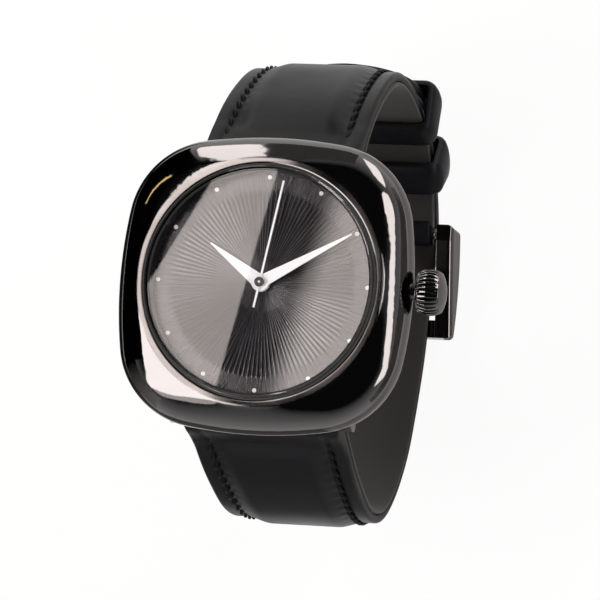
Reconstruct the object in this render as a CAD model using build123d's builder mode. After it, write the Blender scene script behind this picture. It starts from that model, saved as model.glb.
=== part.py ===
from build123d import *
from math import cos, radians, sin, tan
import os

# Cushion case watch. Lengths are millimetres and angles degrees. The origin is the centre of the
# case back's outer face, +Z runs up through the dial, +Y to 12 o'clock and +X to the crown.

os.makedirs("parts", exist_ok=True)

# Cushion case
case_width = 36.9
case_side_radius = 55.0
case_corner_angle = 9.2
case_bottom = 0.3
case_bottom_width = 32.6
case_lower_height = 2.2
case_lower_width = 35.5
case_widest_height = 5.0
case_edge_height = 7.1
case_edge_width = 34.2
case_rim_height = 8.35
case_rim_width = 31.0
rim_corner_angle = 30.0
rim_side_radius = 15.9

# Openings inside the case
movement_space_radius = 13.0
dial_seat_height = 5.6
dial_space_radius = 14.1
crystal_seat_height = 7.95
crystal_opening_radius = 14.65
fit_gap = 0.03
close_gap = 0.01
loose_gap = 0.05
cut_overrun = 1.0

# Crystal and flange
crystal_gasket_wall = 0.28
crystal_gasket_height = 0.5
crystal_thickness = 1.1
crystal_chamfer = 0.25
flange_wall = 0.3

# Case back
back_radius = 13.7
back_thickness = 1.0
back_boss_wall = 0.9
back_boss_height = 0.9
back_gasket_width = 0.4
back_gasket_height = 0.4
back_edge_chamfer = 0.2

# Dial
dial_thickness = 0.4
dial_hole_radius = 0.95
dot_circle_radius = 13.2
dot_radius = 0.26
dot_height = 0.08
ray_count = 120
ray_inner_radius = 3.5
ray_outer_radius = 12.0
ray_depth = 0.06
ray_width_share = 0.5

# Hands
hour_hand_length = 8.2
hour_hand_width = 1.9
hour_hand_angle = 305.0
minute_hand_length = 12.7
minute_hand_width = 1.6
minute_hand_angle = 60.0
hand_hub_radius = 1.1
hand_tip_width = 0.16
hand_thickness = 0.18
hour_hand_height = 6.5
minute_hand_height = 7.02
seconds_hand_length = 12.8
seconds_hand_tail = 3.2
seconds_hand_width = 0.24
seconds_hand_angle = 9.5
seconds_hand_height = 7.4
seconds_hand_thickness = 0.1
seconds_cap_radius = 0.6
seconds_cap_height = 0.28
seconds_boss_radius = 0.32

# Movement plates
main_plate_radius = 11.5
main_plate_bottom = 3.6
main_plate_thickness = 0.9
bridge_bottom = 1.3
bridge_thickness = 0.4
bridge_corner_radius = 1.0
post_radius = 0.5
screw_head_radius = 0.4
screw_head_height = 0.15
screw_slot_width = 0.12
screw_shank_radius = 0.2
movement_ring_wall = 1.3

# Gear train
train_module = 0.1
fine_module = 0.1
motion_module = 0.13
outer_module = 0.13
pinion_teeth = 8
centre_teeth = 64
third_teeth = 60
seconds_teeth = 48
intermediate_teeth = 40
cannon_teeth = 10
minute_wheel_teeth = 30
hour_wheel_teeth = 32
wheel_thickness = 0.2
pinion_thickness = 0.34
third_level = 1.85
seconds_level = 2.25
intermediate_level = 2.65
centre_level = 3.1
minute_wheel_level = 4.65
hour_wheel_level = 5.1
arbor_radius = 0.2
pivot_radius = 0.12
shake = 0.05
seconds_arbor_radius = 0.15
centre_tube_bore = 0.21
centre_tube_radius = 0.34
cannon_tube_radius = 0.5
hour_tube_bore = 0.56
hour_tube_radius = 0.78
third_angle = 60.0
intermediate_angle = 250.0
rotor_angle = 200.0
minute_wheel_angle = 225.0
magnet_radius = 1.1
magnet_height = 0.6

# Tooth form, as shares of the module and of the pitch
addendum_share = 0.75
dedendum_share = 1.15
tip_width_share = 0.14
pitch_width_share = 0.38
root_width_share = 0.44

# Motor, battery and circuit
stator_thickness = 0.4
stator_bottom = 1.95
stator_gap = 0.2
stator_wall = 0.4
coil_core_thickness = 0.4
coil_radius = 0.95
coil_length = 8.0
coil_left = -3.7
coil_back = -8.4
coil_core_length = 12.4
coil_core_left = -6.0
coil_core_width = 1.4
battery_radius = 3.4
battery_thickness = 2.1
battery_bottom = 1.3
battery_distance = 7.7
battery_angle = 135.0
battery_step = 0.3
clamp_width = 1.6
clamp_thickness = 0.1
clamp_length = 7.0
clamp_leg = 0.15
board_left = 5.9
board_width = 3.5
board_front = -6.0
board_length = 11.6
board_thickness = 0.2
can_radius = 0.72
can_length = 5.0
can_front = -3.4

# Crown and stem
crown_height = 4.45
crown_start = 19.15
crown_length = 3.5
crown_radius = 2.85
crown_teeth = 30
crown_tooth_depth = 0.3
crown_tip_share = 0.15
crown_root_share = 0.35
crown_dome = 0.6
crown_shoulder_radius = 2.45
crown_bore_radius = 1.7
crown_bore_depth = 2.1
crown_back_radius = 2.45
crown_back_step = 0.3
tube_radius = 1.1
tube_bore = 0.7
tube_start = 13.4
tube_end = 21.0
crown_gasket_start = 19.25
crown_gasket_length = 0.6
stem_radius = 0.5
stem_start = 7.3
stem_slot_width = 2.2
stem_post_depth = 0.7
groove_start = 9.0
groove_length = 0.5
groove_radius = 0.3
sliding_pinion_radius = 0.8
sliding_pinion_length = 1.0
sliding_pinion_teeth = 12
lever_thickness = 0.2
lever_width = 1.1
lever_length = 3.0
lever_pin_radius = 0.15

# Lugs and spring bars
strap_side_gap = 0.3
lug_thickness = 1.2
lug_radius = 0.9
pin_distance = 16.2
pin_height = 0.7
slot_wall_distance = 14.1
slot_top = 2.9
lug_root = 12.6
lug_top = 4.0
lug_hole_radius = 0.45
bar_tube_radius = 0.75
bar_tube_bore = 0.55
bar_end_gap = 0.35
tip_pin_radius = 0.4
tip_rod_radius = 0.5
tip_collar_radius = 0.68
tip_collar_width = 0.2
tip_engagement = 0.75
tip_rod_length = 3.0
tip_travel = 0.8
bar_spring_wire = 0.09
bar_spring_radius = 0.42
bar_spring_turns = 10

# Strap
strap_width = 20.0
strap_buckle_width = 18.0
strap_thickness = 2.3
tail_thickness = 2.2
strap_loop_wall = 1.0
lining_share = 0.26
padding_share = 0.35
padding_width_share = 0.66
padding_start_share = 0.06
padding_end_share = 0.8
padding_6_end_share = 0.45
tail_round_radius = 9.5
strap_hole_radius = 0.8
strap_hole_spacing = 6.0
strap_hole_steps = (-3, -2, -1, 1, 2)
prong_hole_share = 0.682
layer_gap = 0.02
layer_step = 3.0
bar_clearance = 0.05
strap_reach_12 = 31.8
strap_reach_6 = 25.4
strap_depth = 53.0
keeper_gap = 0.32
prong_slot_width = 2.2
prong_slot_length = 4.6
prong_slot_y_share = 0.725

# Mid-line of the 12 o'clock strap, after its pin, as shares of its reach and depth
strap_12_shares = ((0.604, -0.026), (0.703, -0.081), (0.874, -0.225), (0.978, -0.372), (1.0, -0.5),
                   (0.981, -0.613), (0.934, -0.745), (0.827, -0.877), (0.69, -0.948))

# Mid-line of the 6 o'clock strap, after its pin, up to where it crosses the buckle bar
strap_6_shares = ((-0.736, -0.085), (-0.827, -0.17), (-0.921, -0.283), (-0.98, -0.377), (-1.0, -0.481),
                  (-0.972, -0.585), (-0.894, -0.675), (-0.787, -0.755), (-0.642, -0.83), (-0.453, -0.894),
                  (-0.244, -0.947), (-0.059, -0.986), (0.08, -1.005), (0.275, -1.022), (0.45, -1.046),
                  (0.615, -1.062))

# Where the tail lies along the 12 o'clock strap, as shares of that strap's length
tail_shares = (0.885, 0.82, 0.75, 0.68, 0.62, 0.56)

# Keepers
keeper_wall = 1.1
keeper_width = 5.2
keeper_corner = 0.5
fixed_keeper_share = 0.865
floating_keeper_share = 0.715

# Buckle
buckle_bar_y = 16.0
buckle_bar_height = -53.0
buckle_side_gap = 0.7
buckle_rail_width = 2.3
buckle_end_y = 2.0
buckle_bar_end = 1.1
buckle_ear_height = 1.5
buckle_bulge = 1.3
crossbar_length = 2.4
crossbar_height = 2.1
crossbar_clearance = 0.95
buckle_edge = 0.8
prong_width = 1.6
prong_thickness = 1.1
prong_ring_wall = 0.6
prong_tip_y = 1.3
prong_knee = (13.2, -53.9)
prong_elbow_y = 9.4


def polar(distance, angle):
    """Place at a distance from the hands' axis, at an angle from +X."""
    return (distance * cos(radians(angle)), distance * sin(radians(angle)))


def cushion_edges(half, side_radius, angle):
    """Four bulging sides and four tangent corner arcs, each as three points."""
    step = (side_radius - half) / (cos(radians(angle)) - sin(radians(angle)))
    corner_radius = side_radius - step
    side_centre = half - side_radius
    corner = (side_centre + step * cos(radians(angle)), step * sin(radians(angle)))
    edges = []
    for turn in (0, 90, 180, 270):
        for centre, radius, angles in (((side_centre, 0), side_radius, (-angle, 0, angle)),
                                       (corner, corner_radius, (angle, 45, 90 - angle))):
            steps = [polar(radius, step_angle) for step_angle in angles]
            edges.append([Vector(centre[0] + x, centre[1] + y).rotate(Axis.Z, turn) for x, y in steps])
    return edges


def gear_points(teeth, module, phase):
    """Outline of a gear whose first tooth points along the angle phase."""
    pitch_radius = teeth * module / 2
    pitch_angle = 360 / teeth
    root_radius = pitch_radius - dedendum_share * module
    tip_radius = pitch_radius + addendum_share * module
    outline = []
    for tooth in range(teeth):
        middle = phase + tooth * pitch_angle
        for radius, share in ((root_radius, -root_width_share), (pitch_radius, -pitch_width_share),
                              (tip_radius, -tip_width_share), (tip_radius, tip_width_share),
                              (pitch_radius, pitch_width_share), (root_radius, root_width_share)):
            outline.append(polar(radius, middle + share * pitch_angle / 2))
    return outline


def meshing_phase(direction, teeth, phase, mate_teeth):
    """Phase of the mate that lies in a direction from a gear of a known phase."""
    return direction + 180 + 180 / mate_teeth - (phase - direction) * teeth / mate_teeth


def gear(centre, height, thickness, teeth, module, phase):
    """A toothed disc."""
    with BuildSketch(Plane.XY.offset(height)) as outline:
        with Locations(centre):
            Polygon(*gear_points(teeth, module, phase), align=None)
    extrude(to_extrude=outline.sketch, amount=thickness)


def disc(centre, height, radius, thickness, mode=Mode.ADD):
    """A round disc or hole along Z."""
    with BuildSketch(Plane.XY.offset(height)) as outline:
        with Locations(centre):
            Circle(radius)
    extrude(to_extrude=outline.sketch, amount=thickness, mode=mode)


def rod(plane, radius, length, mode=Mode.ADD):
    """A round rod or hole that starts on a plane and runs along its normal."""
    with BuildSketch(plane) as outline:
        Circle(radius)
    extrude(to_extrude=outline.sketch, amount=length, mode=mode)


def across(x, y, height):
    """Plane square to +X, through a point."""
    return Plane(origin=(x, y, height), x_dir=(0, 1, 0), z_dir=(1, 0, 0))


def outward(x, y, height, end):
    """Plane through a point that looks along +X or -X, for an end of 1 or -1."""
    return Plane(origin=(x, y, height), z_dir=(end, 0, 0))


hands_axis = (0, 0)
lug_gap = strap_width + 2 * strap_side_gap
buckle_inner_width = strap_buckle_width + 2 * buckle_side_gap
dial_top = dial_seat_height + dial_thickness
main_plate_top = main_plate_bottom + main_plate_thickness
bridge_top = bridge_bottom + bridge_thickness
case_half = case_width / 2

# Gear centres follow from the tooth counts
third_distance = (centre_teeth + pinion_teeth) * train_module / 2
third_module = 2 * third_distance / (third_teeth + pinion_teeth)
intermediate_distance = (seconds_teeth + pinion_teeth) * outer_module / 2
rotor_distance = (intermediate_teeth + pinion_teeth) * fine_module / 2
minute_distance = (cannon_teeth + minute_wheel_teeth) * motion_module / 2
third_centre = polar(third_distance, third_angle)
intermediate_centre = polar(intermediate_distance, intermediate_angle)
rotor_step = polar(rotor_distance, rotor_angle)
rotor_centre = (intermediate_centre[0] + rotor_step[0], intermediate_centre[1] + rotor_step[1])
minute_centre = polar(minute_distance, minute_wheel_angle)
post_centres = ((-4.6, 0.0), (4.6, -2.2), (3.2, 7.4))
coil_height = stator_bottom + stator_thickness + coil_core_thickness / 2

# Case body, with hidden lugs for the strap under its 12 and 6 o'clock sides
with BuildPart() as case_body:
    case_sections = ((case_bottom, case_bottom_width, case_side_radius, case_corner_angle),
                     (case_lower_height, case_lower_width, case_side_radius, case_corner_angle),
                     (case_widest_height, case_width, case_side_radius, case_corner_angle),
                     (case_edge_height, case_edge_width, case_side_radius, case_corner_angle),
                     (case_rim_height, case_rim_width, rim_side_radius, rim_corner_angle))
    for height, width, side_radius, angle in case_sections:
        with BuildSketch(Plane.XY.offset(height)):
            with BuildLine():
                for edge_points in cushion_edges(width / 2, side_radius, angle):
                    ThreePointArc(*edge_points)
            make_face()
    loft()
    for side in (-1, 1):
        for end in (-1, 1):
            with BuildSketch(Plane.YZ.offset(end * lug_gap / 2)):
                with BuildLine():
                    lug_inner = side * (pin_distance - lug_radius)
                    lug_outer = side * (pin_distance + lug_radius)
                    Polyline((lug_inner, pin_height), (side * lug_root, case_lower_height),
                             (side * lug_root, lug_top), (side * pin_distance, lug_top),
                             (lug_outer, pin_height + lug_radius), (lug_outer, pin_height))
                    ThreePointArc((lug_outer, pin_height), (side * pin_distance, pin_height - lug_radius),
                                  (lug_inner, pin_height))
                make_face()
            extrude(amount=end * lug_thickness)
        with BuildSketch(Plane.XY.offset(slot_top)):
            with Locations((0, side * (slot_wall_distance + case_half / 2))):
                Rectangle(lug_gap, case_half)
        extrude(amount=-case_half, mode=Mode.SUBTRACT)
        for end in (-1, 1):
            hole_plane = outward(end * lug_gap / 2, side * pin_distance, pin_height, end)
            rod(hole_plane, lug_hole_radius, tip_engagement + loose_gap, Mode.SUBTRACT)
    disc(hands_axis, case_bottom - cut_overrun, back_radius + fit_gap,
         back_thickness - case_bottom + cut_overrun, Mode.SUBTRACT)
    disc(hands_axis, back_thickness - fit_gap, movement_space_radius + back_gasket_width + fit_gap,
         back_gasket_height + fit_gap, Mode.SUBTRACT)
    disc(hands_axis, case_bottom - cut_overrun, movement_space_radius, case_width, Mode.SUBTRACT)
    disc(hands_axis, dial_seat_height, dial_space_radius, case_width, Mode.SUBTRACT)
    disc(hands_axis, crystal_seat_height, crystal_opening_radius, case_width, Mode.SUBTRACT)
    rod(across(movement_space_radius - cut_overrun, 0, crown_height), tube_radius + close_gap,
        case_half, Mode.SUBTRACT)
case_body.part.label = "case_body"
export_step(case_body.part, "parts/case_body.step")

# Crystal, a flat disc with a polished bevel
crystal_radius = crystal_opening_radius - crystal_gasket_wall - fit_gap
with BuildPart() as crystal:
    disc(hands_axis, crystal_seat_height, crystal_radius, crystal_thickness)
    chamfer(crystal.edges().group_by(Axis.Z)[-1], crystal_chamfer)
crystal.part.label = "crystal"
export_step(crystal.part, "parts/crystal.step")

with BuildPart() as crystal_gasket:
    disc(hands_axis, crystal_seat_height, crystal_opening_radius, crystal_gasket_height)
    disc(hands_axis, crystal_seat_height, crystal_radius + fit_gap, crystal_gasket_height, Mode.SUBTRACT)
crystal_gasket.part.label = "crystal_gasket"
export_step(crystal_gasket.part, "parts/crystal_gasket.step")

# Flange ring between dial and crystal
flange_height = crystal_seat_height - dial_top
with BuildPart() as dial_flange:
    disc(hands_axis, dial_top, dial_space_radius - fit_gap, flange_height)
    disc(hands_axis, dial_top, dial_space_radius - fit_gap - flange_wall, flange_height, Mode.SUBTRACT)
dial_flange.part.label = "dial_flange"
export_step(dial_flange.part, "parts/dial_flange.step")

# Case back, snapped into the case, with a ring that holds the movement ring
with BuildPart() as case_back:
    disc(hands_axis, 0, back_radius, back_thickness)
    chamfer(case_back.edges().group_by(Axis.Z)[0], back_edge_chamfer)
    disc(hands_axis, back_thickness, movement_space_radius - loose_gap, back_boss_height)
    disc(hands_axis, back_thickness, movement_space_radius - loose_gap - back_boss_wall, back_boss_height,
         Mode.SUBTRACT)
case_back.part.label = "case_back"
export_step(case_back.part, "parts/case_back.step")

with BuildPart() as case_back_gasket:
    disc(hands_axis, back_thickness, movement_space_radius + back_gasket_width, back_gasket_height)
    disc(hands_axis, back_thickness, movement_space_radius, back_gasket_height, Mode.SUBTRACT)
case_back_gasket.part.label = "case_back_gasket"
export_step(case_back_gasket.part, "parts/case_back_gasket.step")

# Dial with a band of radial grooves, and its twelve dots
with BuildPart() as dial:
    disc(hands_axis, dial_seat_height, dial_space_radius - fit_gap, dial_thickness)
    disc(hands_axis, dial_seat_height, dial_hole_radius, dial_thickness, Mode.SUBTRACT)
    with BuildSketch(Plane.XY.offset(dial_top)):
        ray_half_angle = 360 / ray_count * ray_width_share / 2
        ray_half_tangent = tan(radians(ray_half_angle))
        with PolarLocations(0, ray_count):
            Polygon((ray_inner_radius, -ray_inner_radius * ray_half_tangent),
                    (ray_outer_radius, -ray_outer_radius * ray_half_tangent),
                    (ray_outer_radius, ray_outer_radius * ray_half_tangent),
                    (ray_inner_radius, ray_inner_radius * ray_half_tangent), align=None)
    extrude(amount=-ray_depth, mode=Mode.SUBTRACT)
dial.part.label = "dial"
export_step(dial.part, "parts/dial.step")

with BuildPart() as hour_dots:
    with BuildSketch(Plane.XY.offset(dial_top)):
        with PolarLocations(dot_circle_radius, 12):
            Circle(dot_radius)
    extrude(amount=dot_height)
hour_dots.part.label = "hour_dots"
export_step(hour_dots.part, "parts/hour_dots.step")


def pointed_hand(height, length, width, angle, bore):
    """A tapered hand with a round hub, at a clockwise angle from 12 o'clock."""
    with BuildSketch(Plane.XY.offset(height).rotated((0, 0, -angle))) as outline:
        Polygon((-width / 2, 0), (width / 2, 0), (hand_tip_width / 2, length),
                (-hand_tip_width / 2, length), align=None)
        Circle(hand_hub_radius)
        Circle(bore, mode=Mode.SUBTRACT)
    extrude(to_extrude=outline.sketch, amount=hand_thickness)


with BuildPart() as hour_hand:
    pointed_hand(hour_hand_height, hour_hand_length, hour_hand_width, hour_hand_angle, hour_tube_radius)
hour_hand.part.label = "hour_hand"
export_step(hour_hand.part, "parts/hour_hand.step")

with BuildPart() as minute_hand:
    pointed_hand(minute_hand_height, minute_hand_length, minute_hand_width, minute_hand_angle,
                 cannon_tube_radius)
minute_hand.part.label = "minute_hand"
export_step(minute_hand.part, "parts/minute_hand.step")

with BuildPart() as seconds_hand:
    with BuildSketch(Plane.XY.offset(seconds_hand_height).rotated((0, 0, -seconds_hand_angle))):
        with Locations((0, (seconds_hand_length - seconds_hand_tail) / 2)):
            Rectangle(seconds_hand_width, seconds_hand_length + seconds_hand_tail)
        Circle(seconds_boss_radius)
        Circle(seconds_arbor_radius, mode=Mode.SUBTRACT)
    extrude(amount=seconds_hand_thickness)
seconds_hand.part.label = "seconds_hand"
export_step(seconds_hand.part, "parts/seconds_hand.step")

# Cap that holds the seconds hand on its arbor
seconds_cap_base = seconds_hand_height + seconds_hand_thickness
with BuildPart() as seconds_cap:
    disc(hands_axis, seconds_cap_base, seconds_cap_radius, seconds_cap_height)
    disc(hands_axis, seconds_cap_base, seconds_arbor_radius, seconds_cap_height, Mode.SUBTRACT)
seconds_cap.part.label = "seconds_cap"
export_step(seconds_cap.part, "parts/seconds_cap.step")

# Main plate with three posts below and the minute wheel's stud above
train_centres = (third_centre, intermediate_centre, rotor_centre)
pivot_depth = bridge_thickness - 2 * shake
with BuildPart() as main_plate:
    disc(hands_axis, main_plate_bottom, main_plate_radius, main_plate_thickness)
    with BuildSketch(Plane.XY.offset(main_plate_bottom)):
        with Locations(((stem_start + main_plate_radius) / 2, 0)):
            Rectangle(main_plate_radius - stem_start + cut_overrun, stem_slot_width)
    extrude(amount=main_plate_thickness, mode=Mode.SUBTRACT)
    disc(hands_axis, main_plate_bottom, centre_tube_radius + fit_gap, main_plate_thickness, Mode.SUBTRACT)
    for centre in post_centres:
        disc(centre, bridge_top, post_radius, main_plate_bottom - bridge_top)
        disc(centre, bridge_top, screw_shank_radius, main_plate_bottom - bridge_top, Mode.SUBTRACT)
    for centre in train_centres:
        disc(centre, main_plate_bottom, pivot_radius + fit_gap, pivot_depth, Mode.SUBTRACT)
    disc(minute_centre, main_plate_top, arbor_radius, dial_seat_height - main_plate_top - loose_gap)
main_plate.part.label = "main_plate"
export_step(main_plate.part, "parts/main_plate.step")

# Train bridge under the wheels, and its three screws
with BuildPart() as train_bridge:
    with BuildSketch(Plane.XY.offset(bridge_bottom)):
        with Locations(*post_centres, rotor_centre, third_centre, intermediate_centre):
            Circle(bridge_corner_radius)
        make_hull()
    extrude(amount=bridge_thickness)
    for centre in (*train_centres, hands_axis):
        disc(centre, bridge_bottom, pivot_radius + fit_gap, bridge_thickness, Mode.SUBTRACT)
    for centre in post_centres:
        disc(centre, bridge_bottom, screw_shank_radius, bridge_thickness, Mode.SUBTRACT)
train_bridge.part.label = "train_bridge"
export_step(train_bridge.part, "parts/train_bridge.step")

with BuildPart() as bridge_screws:
    for centre in post_centres:
        disc(centre, bridge_bottom - screw_head_height, screw_head_radius, screw_head_height)
        disc(centre, bridge_bottom, screw_shank_radius, main_plate_bottom - bridge_bottom)
        with BuildSketch(Plane.XY.offset(bridge_bottom - screw_head_height)):
            with Locations(centre):
                Rectangle(2 * screw_head_radius, screw_slot_width)
        extrude(amount=screw_head_height / 2, mode=Mode.SUBTRACT)
bridge_screws.part.label = "bridge_screws"
export_step(bridge_screws.part, "parts/bridge_screws.step")

# Plastic ring that centres the movement in the case
ring_bottom = back_thickness + back_boss_height + loose_gap
with BuildPart() as movement_ring:
    ring_height = dial_seat_height - loose_gap - ring_bottom
    disc(hands_axis, ring_bottom, movement_space_radius - loose_gap, ring_height)
    disc(hands_axis, ring_bottom, main_plate_radius + loose_gap, ring_height, Mode.SUBTRACT)
    rod(across(main_plate_radius, 0, crown_height), tube_bore, 2 * movement_ring_wall, Mode.SUBTRACT)
movement_ring.part.label = "movement_ring"
export_step(movement_ring.part, "parts/movement_ring.step")

# Gear phases, worked outward from the centre wheel
third_pinion_phase = meshing_phase(third_angle, centre_teeth, 0, pinion_teeth)
seconds_pinion_phase = meshing_phase(third_angle + 180, third_teeth, 0, pinion_teeth)
intermediate_pinion_phase = meshing_phase(intermediate_angle, seconds_teeth, 0, pinion_teeth)
rotor_pinion_phase = meshing_phase(rotor_angle, intermediate_teeth, 0, pinion_teeth)
minute_wheel_phase = meshing_phase(minute_wheel_angle, cannon_teeth, 0, minute_wheel_teeth)
hour_wheel_phase = meshing_phase(minute_wheel_angle + 180, pinion_teeth, 0, hour_wheel_teeth)
pinion_step = (pinion_thickness - wheel_thickness) / 2
arbor_bottom = bridge_top + shake
arbor_top = main_plate_bottom - shake


def train_arbor(centre):
    """An arbor between bridge and main plate, with a pivot at each end."""
    pivot_bottom = bridge_bottom + shake
    pivot_top = main_plate_bottom + pivot_depth - shake
    disc(centre, arbor_bottom, arbor_radius, arbor_top - arbor_bottom)
    disc(centre, pivot_bottom, pivot_radius, pivot_top - pivot_bottom)


with BuildPart() as centre_wheel:
    gear(hands_axis, centre_level, wheel_thickness, centre_teeth, train_module, 0)
    disc(hands_axis, centre_level, centre_tube_radius, minute_hand_height - centre_level)
    disc(hands_axis, centre_level, centre_tube_bore, minute_hand_height - centre_level, Mode.SUBTRACT)
centre_wheel.part.label = "centre_wheel"
export_step(centre_wheel.part, "parts/centre_wheel.step")

with BuildPart() as cannon_pinion:
    cannon_base = main_plate_top + 2 * shake
    cannon_leaf_top = hour_wheel_level - shake
    gear(hands_axis, cannon_base, cannon_leaf_top - cannon_base, cannon_teeth, motion_module, 0)
    disc(hands_axis, cannon_base, cannon_tube_radius, minute_hand_height + hand_thickness - cannon_base)
    disc(hands_axis, cannon_base, centre_tube_radius, case_rim_height - cannon_base, Mode.SUBTRACT)
cannon_pinion.part.label = "cannon_pinion"
export_step(cannon_pinion.part, "parts/cannon_pinion.step")

with BuildPart() as minute_wheel:
    gear(minute_centre, minute_wheel_level, wheel_thickness, minute_wheel_teeth, motion_module,
         minute_wheel_phase)
    minute_pinion_base = minute_wheel_level + wheel_thickness
    minute_pinion_height = hour_wheel_level + wheel_thickness + shake - minute_pinion_base
    gear(minute_centre, minute_pinion_base, minute_pinion_height, pinion_teeth, motion_module, 0)
    disc(minute_centre, minute_wheel_level, arbor_radius + fit_gap, case_rim_height - minute_wheel_level,
         Mode.SUBTRACT)
minute_wheel.part.label = "minute_wheel"
export_step(minute_wheel.part, "parts/minute_wheel.step")

with BuildPart() as hour_wheel:
    gear(hands_axis, hour_wheel_level, wheel_thickness, hour_wheel_teeth, motion_module, hour_wheel_phase)
    hour_tube_height = hour_hand_height + hand_thickness - hour_wheel_level
    disc(hands_axis, hour_wheel_level, hour_tube_radius, hour_tube_height)
    disc(hands_axis, hour_wheel_level, hour_tube_bore, hour_tube_height, Mode.SUBTRACT)
hour_wheel.part.label = "hour_wheel"
export_step(hour_wheel.part, "parts/hour_wheel.step")

with BuildPart() as third_wheel:
    train_arbor(third_centre)
    gear(third_centre, third_level, wheel_thickness, third_teeth, third_module, 0)
    gear(third_centre, centre_level - pinion_step, pinion_thickness, pinion_teeth, train_module,
         third_pinion_phase)
third_wheel.part.label = "third_wheel"
export_step(third_wheel.part, "parts/third_wheel.step")

with BuildPart() as seconds_wheel:
    seconds_cap_top = seconds_cap_base + seconds_cap_height
    disc(hands_axis, arbor_bottom, seconds_arbor_radius, seconds_cap_top - arbor_bottom)
    disc(hands_axis, bridge_bottom + shake, pivot_radius, arbor_bottom - bridge_bottom)
    gear(hands_axis, third_level - pinion_step, pinion_thickness, pinion_teeth, third_module,
         seconds_pinion_phase)
    gear(hands_axis, seconds_level, wheel_thickness, seconds_teeth, outer_module, 0)
seconds_wheel.part.label = "seconds_wheel"
export_step(seconds_wheel.part, "parts/seconds_wheel.step")

with BuildPart() as intermediate_wheel:
    train_arbor(intermediate_centre)
    gear(intermediate_centre, seconds_level - pinion_step, pinion_thickness, pinion_teeth, outer_module,
         intermediate_pinion_phase)
    gear(intermediate_centre, intermediate_level, wheel_thickness, intermediate_teeth, fine_module, 0)
intermediate_wheel.part.label = "intermediate_wheel"
export_step(intermediate_wheel.part, "parts/intermediate_wheel.step")

with BuildPart() as rotor:
    train_arbor(rotor_centre)
    disc(rotor_centre, third_level, magnet_radius, magnet_height)
    gear(rotor_centre, intermediate_level - pinion_step, pinion_thickness, pinion_teeth, fine_module,
         rotor_pinion_phase)
rotor.part.label = "rotor"
export_step(rotor.part, "parts/rotor.step")


def arm(plane, start, end, width):
    """Outline of a bar with round ends."""
    with BuildSketch(plane) as outline:
        with Locations(start, end):
            Circle(width / 2)
        make_hull()
    return outline.sketch


# Stator, coil and core of the stepping motor
core_right = coil_core_left + coil_core_length
left_end = (coil_core_left + coil_core_width / 2, coil_back)
right_end = (core_right - coil_core_width / 2, coil_back)
stator_plane = Plane.XY.offset(stator_bottom)
stator_radius = magnet_radius + stator_gap + stator_wall
arm_start = (rotor_centre[0], rotor_centre[1] - magnet_radius)
elbow = (right_end[0], rotor_centre[1] - stator_radius)
with BuildPart() as stator:
    disc(rotor_centre, stator_bottom, stator_radius, stator_thickness)
    extrude(to_extrude=arm(stator_plane, arm_start, left_end, coil_core_width), amount=stator_thickness)
    extrude(to_extrude=arm(stator_plane, arm_start, elbow, coil_core_width), amount=stator_thickness)
    extrude(to_extrude=arm(stator_plane, elbow, right_end, coil_core_width), amount=stator_thickness)
    disc(rotor_centre, stator_bottom, magnet_radius + stator_gap, stator_thickness, Mode.SUBTRACT)
stator.part.label = "stator"
export_step(stator.part, "parts/stator.step")

with BuildPart() as coil_core:
    with BuildSketch(Plane.XY.offset(stator_bottom + stator_thickness)):
        with Locations((coil_core_left + coil_core_length / 2, coil_back)):
            Rectangle(coil_core_length, coil_core_width)
    extrude(amount=coil_core_thickness)
coil_core.part.label = "coil_core"
export_step(coil_core.part, "parts/coil_core.step")

with BuildPart() as coil_winding:
    rod(across(coil_left, coil_back, coil_height), coil_radius, coil_length)
    with BuildSketch(across(coil_left, coil_back, coil_height)):
        Rectangle(coil_core_width, coil_core_thickness)
    extrude(amount=coil_length, mode=Mode.SUBTRACT)
coil_winding.part.label = "coil_winding"
export_step(coil_winding.part, "parts/coil_winding.step")

# Button cell and its clamp
battery_centre = polar(battery_distance, battery_angle)
with BuildPart() as battery:
    disc(battery_centre, battery_bottom, battery_radius - battery_step, battery_step)
    disc(battery_centre, battery_bottom + battery_step, battery_radius, battery_thickness - battery_step)
battery.part.label = "battery"
export_step(battery.part, "parts/battery.step")

with BuildPart() as battery_clamp:
    clamp_plane = Plane.XY.offset(battery_bottom - clamp_thickness).rotated((0, 0, battery_angle))
    clamp_end = main_plate_radius - clamp_leg
    with BuildSketch(clamp_plane):
        with Locations((clamp_end - clamp_length / 2, 0)):
            Rectangle(clamp_length, clamp_width)
    extrude(amount=clamp_thickness)
    with BuildSketch(clamp_plane):
        with Locations((clamp_end - clamp_leg / 2, 0)):
            Rectangle(clamp_leg, clamp_width)
    extrude(amount=main_plate_bottom - battery_bottom + clamp_thickness)
battery_clamp.part.label = "battery_clamp"
export_step(battery_clamp.part, "parts/battery_clamp.step")

# Circuit board and the can of its quartz crystal
board_centre_x = board_left + board_width / 2
board_bottom = main_plate_bottom - fit_gap - board_thickness
with BuildPart() as circuit_board:
    with BuildSketch(Plane.XY.offset(board_bottom)):
        with Locations((board_centre_x, board_front + board_length / 2)):
            Rectangle(board_width, board_length)
    extrude(amount=board_thickness)
circuit_board.part.label = "circuit_board"
export_step(circuit_board.part, "parts/circuit_board.step")

with BuildPart() as quartz_can:
    rod(Plane(origin=(board_centre_x, can_front, board_bottom - can_radius - fit_gap), z_dir=(0, 1, 0)),
        can_radius, can_length)
quartz_can.part.label = "quartz_can"
export_step(quartz_can.part, "parts/quartz_can.step")

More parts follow.
